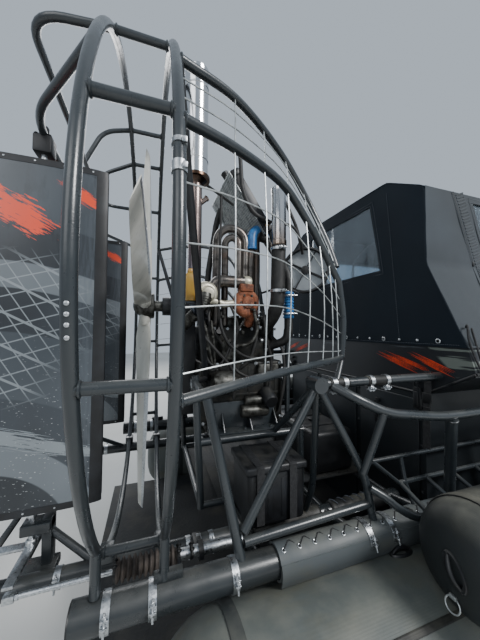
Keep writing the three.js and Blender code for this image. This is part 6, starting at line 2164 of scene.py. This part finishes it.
def make_cord_loop():
    """The looped tie at the tent's corner, sewn to the hem and hooked on the coaming."""
    loop = smooth([
        (1.235, -0.79, 1.47), (1.222, -0.802, 1.48), (1.21, -0.812, 1.462), (1.207, -0.817, 1.42),
        (1.212, -0.83, 1.36),
        (1.222, -0.848, 1.3), (1.232, -0.852, 1.284), (1.242, -0.849, 1.3), (1.24, -0.836, 1.35),
        (1.242, -0.82, 1.41), (1.25, -0.806, 1.45), (1.262, -0.796, 1.465),
    ], 60)
    form = Form()
    form.tube(loop, 0.0042, 10)
    form.both_sides()
    form.piece("corner_ties", "webbing", slot="black_plastic")


make_aft_wall()
make_tent_sides()
make_roof()
make_windscreen()
make_cord_loop()


# Cabin body: brush strokes on the coaming, trim, toggles, straps and foredeck fittings
def make_coaming_trim():
    strokes = Form()
    table = (
        # (y, z) of the upper end, (y, z) of the lower end, width, seed
        ((-0.37, 1.322), (-0.62, 1.25), 0.022, 1), ((-0.42, 1.335), (-0.69, 1.256), 0.017, 2),
        ((-0.57, 1.335), (-0.79, 1.256), 0.026, 3), ((0.34, 1.345), (0.6, 1.262), 0.022, 4),
        ((0.5, 1.352), (0.72, 1.27), 0.02, 5),
    )
    for (y0, z0), (y1, z1), wide, seed in table:
        luck = random.Random(seed)
        start, end = Vector((y0, z0)), Vector((y1, z1))
        along = (end - start).normalized()
        side = Vector((-along.y, along.x))
        for lane in range(5):
            shift = (lane / 4 - 0.5) * wide
            a = start + side * shift + along * luck.uniform(-0.03, 0.06)
            b = end + side * shift - along * luck.uniform(0.0, 0.05)
            thick = wide / 5 * luck.uniform(0.75, 1.25)
            outline = [a, (a + b) / 2 - side * thick * 0.6, b, (a + b) / 2 + side * thick * 0.6]
            strokes.plate([(p.x, p.y) for p in outline], 1.1984, 1.1993, "x", 0.0)
    strokes.piece("coaming_strokes", "orange", slot="slate_skin")

    trim = Form()
    for sign in (-1, 1):
        trim.tube(flip([(1.2, -0.8435, 1.277), (3.978, -0.8435, 1.277)], sign), 0.007, 10)
        trim.tube(flip([(1.199, -0.845, 1.277), (1.199, -0.632, 1.153), (1.199, 0.0, 1.153)], sign), 0.0065,
            10)
        for k in range(16):
            trim.bolt(flip([(1.25 + 0.18 * k, -0.8505, 1.277)], sign)[0], (0, sign, 0), 0.004, 0.003)
    trim.piece("coaming_edge_trim", "plastic", slot="black_plastic")

    panel = Form()
    for y0, y1 in ((-0.6, -0.22), (-0.18, 0.18), (0.22, 0.6)):
        panel.block((1.192, y0, 0.42), (1.2005, y1, 1.12), 0.005, segments=3)
    for y in (-0.61, -0.2, 0.2, 0.61):
        for z in (0.46, 0.68, 0.9, 1.1):
            panel.bolt((1.1995, y, z), (-1, 0, 0), 0.006, 0.004)
    panel.piece("aft_bulkhead_panels", "slate", slot="slate_skin")

    toggles = Form()
    for y, z in ((-0.36, 0.985), (-0.6, 1.13), (0.36, 0.985), (0.6, 1.13)):
        toggles.block((1.182, y - 0.02, z - 0.055), (1.193, y + 0.02, z + 0.05), 0.004)
        toggles.block((1.172, y - 0.011, z - 0.04), (1.184, y + 0.011, z + 0.03), 0.004)
        toggles.tube(bent([(1.178, y - 0.009, z + 0.01), (1.175, y - 0.009, z + 0.075),
            (1.175, y + 0.009, z + 0.075), (1.178, y + 0.009, z + 0.01)], 0.008, 4), 0.002, 8)
        toggles.block((1.178, y - 0.014, z + 0.066), (1.194, y + 0.014, z + 0.088), 0.003)
    toggles.piece("bulkhead_toggles", "plastic", slot="black_plastic")

    webbing = Form()
    for sign in (-1, 1):
        line = flip([(1.186, -0.655, 1.268), (1.178, -0.66, 1.19), (1.176, -0.655, 1.08),
            (1.184, -0.645, 0.9)], sign)
        strip(webbing, smooth(line, 24), (-1, 0, 0), 0.035, 0.002)
    webbing.piece("corner_straps", "webbing", slot="black_plastic")
    buckles = Form()
    for sign in (-1, 1):
        y = 0.658 * sign
        buckles.block((1.17, y - 0.023, 1.12), (1.1765, y + 0.023, 1.165), 0.003)
        buckles.tube(bent([(1.17, y - 0.02, 1.13), (1.166, y - 0.02, 1.1), (1.166, y + 0.02, 1.1),
            (1.17, y + 0.02, 1.13)], 0.006, 4), 0.0025, 8)
    buckles.piece("strap_buckles", "plastic", slot="black_plastic")

    deck = Form()
    deck.block((4.12, -0.26, 1.352), (4.62, 0.26, 1.3655), 0.01,
        turn=Matrix.Rotation(math.radians(9.9), 3, "Y"), segments=3)
    for sign in (-1, 1):
        deck.turned([(0.02, 0), (0.022, 0.006), (0.014, 0.02), (0.012, 0.045), (0.02, 0.052), (0.018, 0.06),
            (0.002, 0.062)], (4.15, 0.42 * sign, 1.352), "z", 20)
        deck.tube([(4.1, 0.42 * sign, 1.398), (4.2, 0.42 * sign, 1.398)], 0.009, 12)
    deck.piece("foredeck_hatch_and_cleats", "plastic", slot="black_plastic")


make_coaming_trim()


# Seats: simulated pads on moulded bases
def simulate(pad, cap, voxel, pressure=4.0):
    """Swells a pad as stuffed cloth does, then holds every point within cap of where it started."""
    remesh = pad.modifiers.new("grid", "REMESH")
    remesh.mode = "VOXEL"
    remesh.voxel_size = voxel
    apply_modifiers(pad)
    before = [v.co.copy() for v in pad.data.vertices]
    cloth = pad.modifiers.new("cloth", "CLOTH")
    cloth.settings.use_pressure = True
    cloth.settings.uniform_pressure_force = pressure
    cloth.settings.effector_weights.gravity = 0.0
    cloth.settings.quality = 4
    for number in range(1, 21):
        bpy.context.scene.frame_set(number)
    apply_modifiers(pad)
    for vert, start in zip(pad.data.vertices, before):
        move = vert.co - start
        if move.length > cap:
            vert.co = start + move.normalized() * cap
    smoother = pad.modifiers.new("finer", "SUBSURF")
    smoother.levels = 1
    apply_modifiers(pad)


def apply_modifiers(made):
    graph = bpy.context.evaluated_depsgraph_get()
    data = bpy.data.meshes.new_from_object(made.evaluated_get(graph), depsgraph=graph)
    made.modifiers.clear()
    made.data = data


def pad_form(low, high, crown, turn=None, pivot=None):
    """A crowned pad whose sides pull in between its corners."""
    low, high = Vector(low), Vector(high)
    size, middle = high - low, (low + high) / 2
    made = bmesh.new()
    bmesh.ops.create_cube(made, size=1.0)
    bmesh.ops.subdivide_edges(made, edges=made.edges, cuts=11, use_grid_fill=True)
    thin = min(range(3), key=lambda i: size[i])
    wide = [i for i in range(3) if i != thin]
    for vert in made.verts:
        p = vert.co * 2
        a, b = p[wide[0]], p[wide[1]]
        dome = (1 - a ** 4) * (1 - b ** 4)
        if p[thin] > 0:
            p[thin] *= 1 - 0.28 * (1 - dome)
        waist = 1 - 0.02 * (1 - abs(a)) * (1 - abs(b))
        corner = 1 - 0.06 * (abs(a) * abs(b)) ** 6
        p[wide[0]] *= waist * corner
        p[wide[1]] *= waist * corner
        vert.co = Vector([p[i] * (size[i] / 2 - crown) for i in range(3)]) + middle
    form = Form()
    form.join(made)
    if turn is not None:
        form.turn(turn, pivot)
    return form


PADS = (
    # (name, seat node, x, low y, high y, cap, voxel)
    ("driver", "seat_driver", 2.62, -0.59, -0.09, 0.014, 0.012),
    ("passenger", "seat_passenger", 2.62, 0.09, 0.59, 0.014, 0.012),
    ("bench", "bench_rear", 1.33, -0.6, 0.6, 0.016, 0.018),
)


def make_seats():
    for name, node, x, y0, y1, cap, voxel in PADS:
        base = Form()
        base.block((x + 0.045, y0 + 0.02, 0.336), (x + 0.515, y1 - 0.02, 0.69), 0.03, segments=4)
        base.block((x - 0.005, y0 + 0.03, 0.69), (x + 0.045, y1 - 0.03, 0.78), 0.012)
        for k in range(3):
            y = y0 + (y1 - y0) * (k + 0.5) / 3
            base.block((x + 0.513, y - 0.05, 0.42), (x + 0.519, y + 0.05, 0.6), 0.01)
        base.piece(f"{name}_seat_base", "plastic", stands_for=node, slot="seat_cover")
        lean = Matrix.Rotation(math.radians(-7.0), 3, "Y")
        pads = (
            ("cushion", (x + 0.05, y0, 0.69), (x + 0.56, y1, 0.785), None, None),
            ("back", (x - 0.01, y0, 0.78), (x + 0.09, y1, 1.325), lean, (x + 0.04, 0, 0.78)),
        )
        for part, low, high, turn, pivot in pads:
            form = pad_form(low, high, 0.006, turn, pivot)
            pad = form.piece(f"{name}_{part}", "seat", slot="seat_cover", sharp=60)
            simulate(pad, cap, voxel)
            pad.data.polygons.foreach_set("use_smooth", [True] * len(pad.data.polygons))
        seams = Form()
        count = 3 if name != "bench" else 8
        for k in range(1, count):
            y = y0 + (y1 - y0) * k / count
            seams.tube([(x + 0.09, y, 0.792), (x + 0.3, y, 0.7965), (x + 0.52, y, 0.79)], 0.0032, 8)
        seams.piece(f"{name}_cushion_seams", "webbing", slot="seat_cover")


make_seats()


# Dashboard, steering wheel and its column
def make_dashboard():
    side = [(3.56, 1.0), (3.8, 1.0), (3.89, 1.148), (3.89, 1.26), (3.6, 1.3), (3.52, 1.18)]
    dash = Form()
    dash.plate(side, -0.617, 0.617, "y", 0.012)
    face_out = Vector((-0.832, 0.0, 0.555))
    for y0, y1 in ((-0.56, -0.1), (0.06, 0.56)):
        middle = Vector((3.56, (y0 + y1) / 2, 1.24)) + face_out * 0.002
        turn = Matrix.Rotation(math.radians(33.7), 3, "Y")
        half = Vector((0.006, (y1 - y0) / 2, 0.05))
        dash.block(middle - half, middle + half, 0.004, turn)
    dash.piece("dashboard_shell", "plastic", stands_for="dashboard", slot="black_plastic")
    dials, hands = Form(), Form()
    for y in (-0.5, -0.39, -0.28, -0.17, 0.2, 0.31):
        centre = Vector((3.56, y, 1.24)) + face_out * 0.009
        dials.turned([(0.042, 0), (0.046, 0.004), (0.046, 0.012), (0.041, 0.014), (0.039, 0.009),
            (0.002, 0.009)], centre, face_out, 32)
        up = Vector((0.555, 0, 0.832))
        hands.tube([centre + face_out * 0.0105,
            centre + face_out * 0.0105 + up * 0.026 + Vector((0, 0.012, 0))], 0.0012, 6)
        for k in range(9):
            a = math.radians(-120 + 30 * k)
            ray = up * math.cos(a) + Vector((0, math.sin(a), 0))
            hands.tube([centre + face_out * 0.0098 + ray * 0.029, centre + face_out * 0.0098 + ray * 0.035],
                0.0008, 5)
    dials.piece("gauge_bezels", "zinc", slot="chrome")
    hands.piece("gauge_hands", "bottle", slot="chrome")
    switches = Form()
    for k in range(6):
        centre = Vector((3.56, 0.38 + 0.03 * k, 1.24)) + face_out * 0.009
        switches.turned([(0.008, 0), (0.009, 0.002), (0.006, 0.006)], centre, face_out, 12)
        switches.tube([centre + face_out * 0.004, centre + face_out * 0.02 + Vector((0, 0, 0.006))],
            [0.002, 0.0034], 8)
    switches.piece("dash_switches", "zinc", slot="zinc")

    lever = Form()
    lever.block((3.3, -0.606, 1.0), (3.42, -0.575, 1.14), 0.008)
    lever.tube(bent([(3.36, -0.565, 1.07), (3.36, -0.55, 1.12), (3.33, -0.55, 1.24)], 0.02), 0.007, 12)
    lever.turned([(0.008, -0.02), (0.018, -0.014), (0.02, 0.004), (0.013, 0.018), (0.004, 0.021)],
        (3.328, -0.55, 1.25), "z", 20)
    lever.piece("throttle_lever", "plastic", slot="black_plastic")

    wheel = Form()
    centre = Vector((3.4, -0.34, 1.16))
    tilt = Matrix.Rotation(math.radians(25), 3, "Y")
    wheel.loop(centre, (1, 0, 0), 0.185, 0.0128, sides=16, around=72)
    for degrees in (90, 210, 330):
        a = math.radians(degrees)
        for shift in (-0.012, 0.012):
            across = Vector((0, -math.sin(a), math.cos(a))) * shift
            end = Vector((0, 0.178 * math.cos(a), 0.178 * math.sin(a)))
            wheel.tube([centre + across, centre + end + across * 0.4], 0.0055, 10)
    wheel.turned([(0.03, -0.018), (0.036, -0.012), (0.036, 0.012), (0.03, 0.016)], centre, "x", 28)
    wheel.turned([(0.002, -0.024), (0.022, -0.022), (0.026, -0.016)], centre, "x", 28)
    for k in range(48):
        a = 2 * math.pi * k / 48
        ray = Vector((0, math.cos(a), math.sin(a)))
        if k % 16 in (3, 4, 5, 11, 12, 13):
            wheel.loop(centre + ray * 0.185, ray.cross(Vector((1, 0, 0))), 0.0133, 0.0012, sides=5,
                around=14)
    wheel.turn(tilt, centre)
    wheel.piece("wheel_rim_and_spokes", "plastic", body="steering_wheel", stands_for="steering_wheel",
        slot="black_plastic")


make_dashboard()


# Finishes of the frame's own parts that stay as they are
NODE_FINISH = {
    "hull_bottom": "bottom", "floor_deck": "deck", "cabin_tub": "slate", "coaming": "coaming",
    "foredeck": "hull", "steering_column": "zinc",
}
for node, finish in NODE_FINISH.items():
    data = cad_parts[node].data
    data.materials.clear()
    data.materials.append(FINISH[finish].material)


# Floor and light

def make_stage():
    floor = Form()
    rim = []
    for k in range(64):
        a = 2 * math.pi * k / 64
        rim.append((16 * math.cos(a), 16 * math.sin(a)))
    floor.plate(rim, -0.04, -0.002, "z", 0.0)
    ground = Finish("pale_studio_floor", "#c9c9c6", 0.75)
    ground.tint("#bdbdb9", ground.between(ground.noise(1.5, 3.0), 0.4, 0.7))
    ground.relief(ground.noise(0.01, 2.0), 0.0005)
    data = bpy.data.meshes.new("studio_floor")
    floor.mesh.to_mesh(data)
    floor.mesh.free()
    data.materials.append(ground.material)
    made = bpy.data.objects.new("studio_floor", data)
    bpy.context.scene.collection.objects.link(made)

    world = bpy.data.worlds.new("soft_sky")
    world.use_nodes = True
    world.node_tree.nodes.clear()
    sky = add(world.node_tree, "ShaderNodeBackground", {"Color": linear("#cfdbe8"), "Strength": 0.75})
    add(world.node_tree, "ShaderNodeOutputWorld", {"Surface": sky.outputs[0]})
    bpy.context.scene.world = world

    for name, spot, aim, size, power in (
        ("key", (2.5, -6.5, 7.5), (-1.2, 0.0, 1.2), 2.6, 1100.0),
        ("fill", (-7.0, -5.5, 5.5), (-2.0, 0.0, 1.2), 5.0, 200.0),
        ("rim", (-3.0, 7.5, 6.0), (-1.5, 0.0, 1.2), 5.0, 350.0),
    ):
        lamp = bpy.data.lights.new(name, "AREA")
        lamp.energy = power
        lamp.size = size
        holder = bpy.data.objects.new(name, lamp)
        holder.location = spot
        holder.rotation_euler = (Vector(aim) - Vector(spot)).to_track_quat("-Z", "Y").to_euler()
        bpy.context.scene.collection.objects.link(holder)


make_stage()
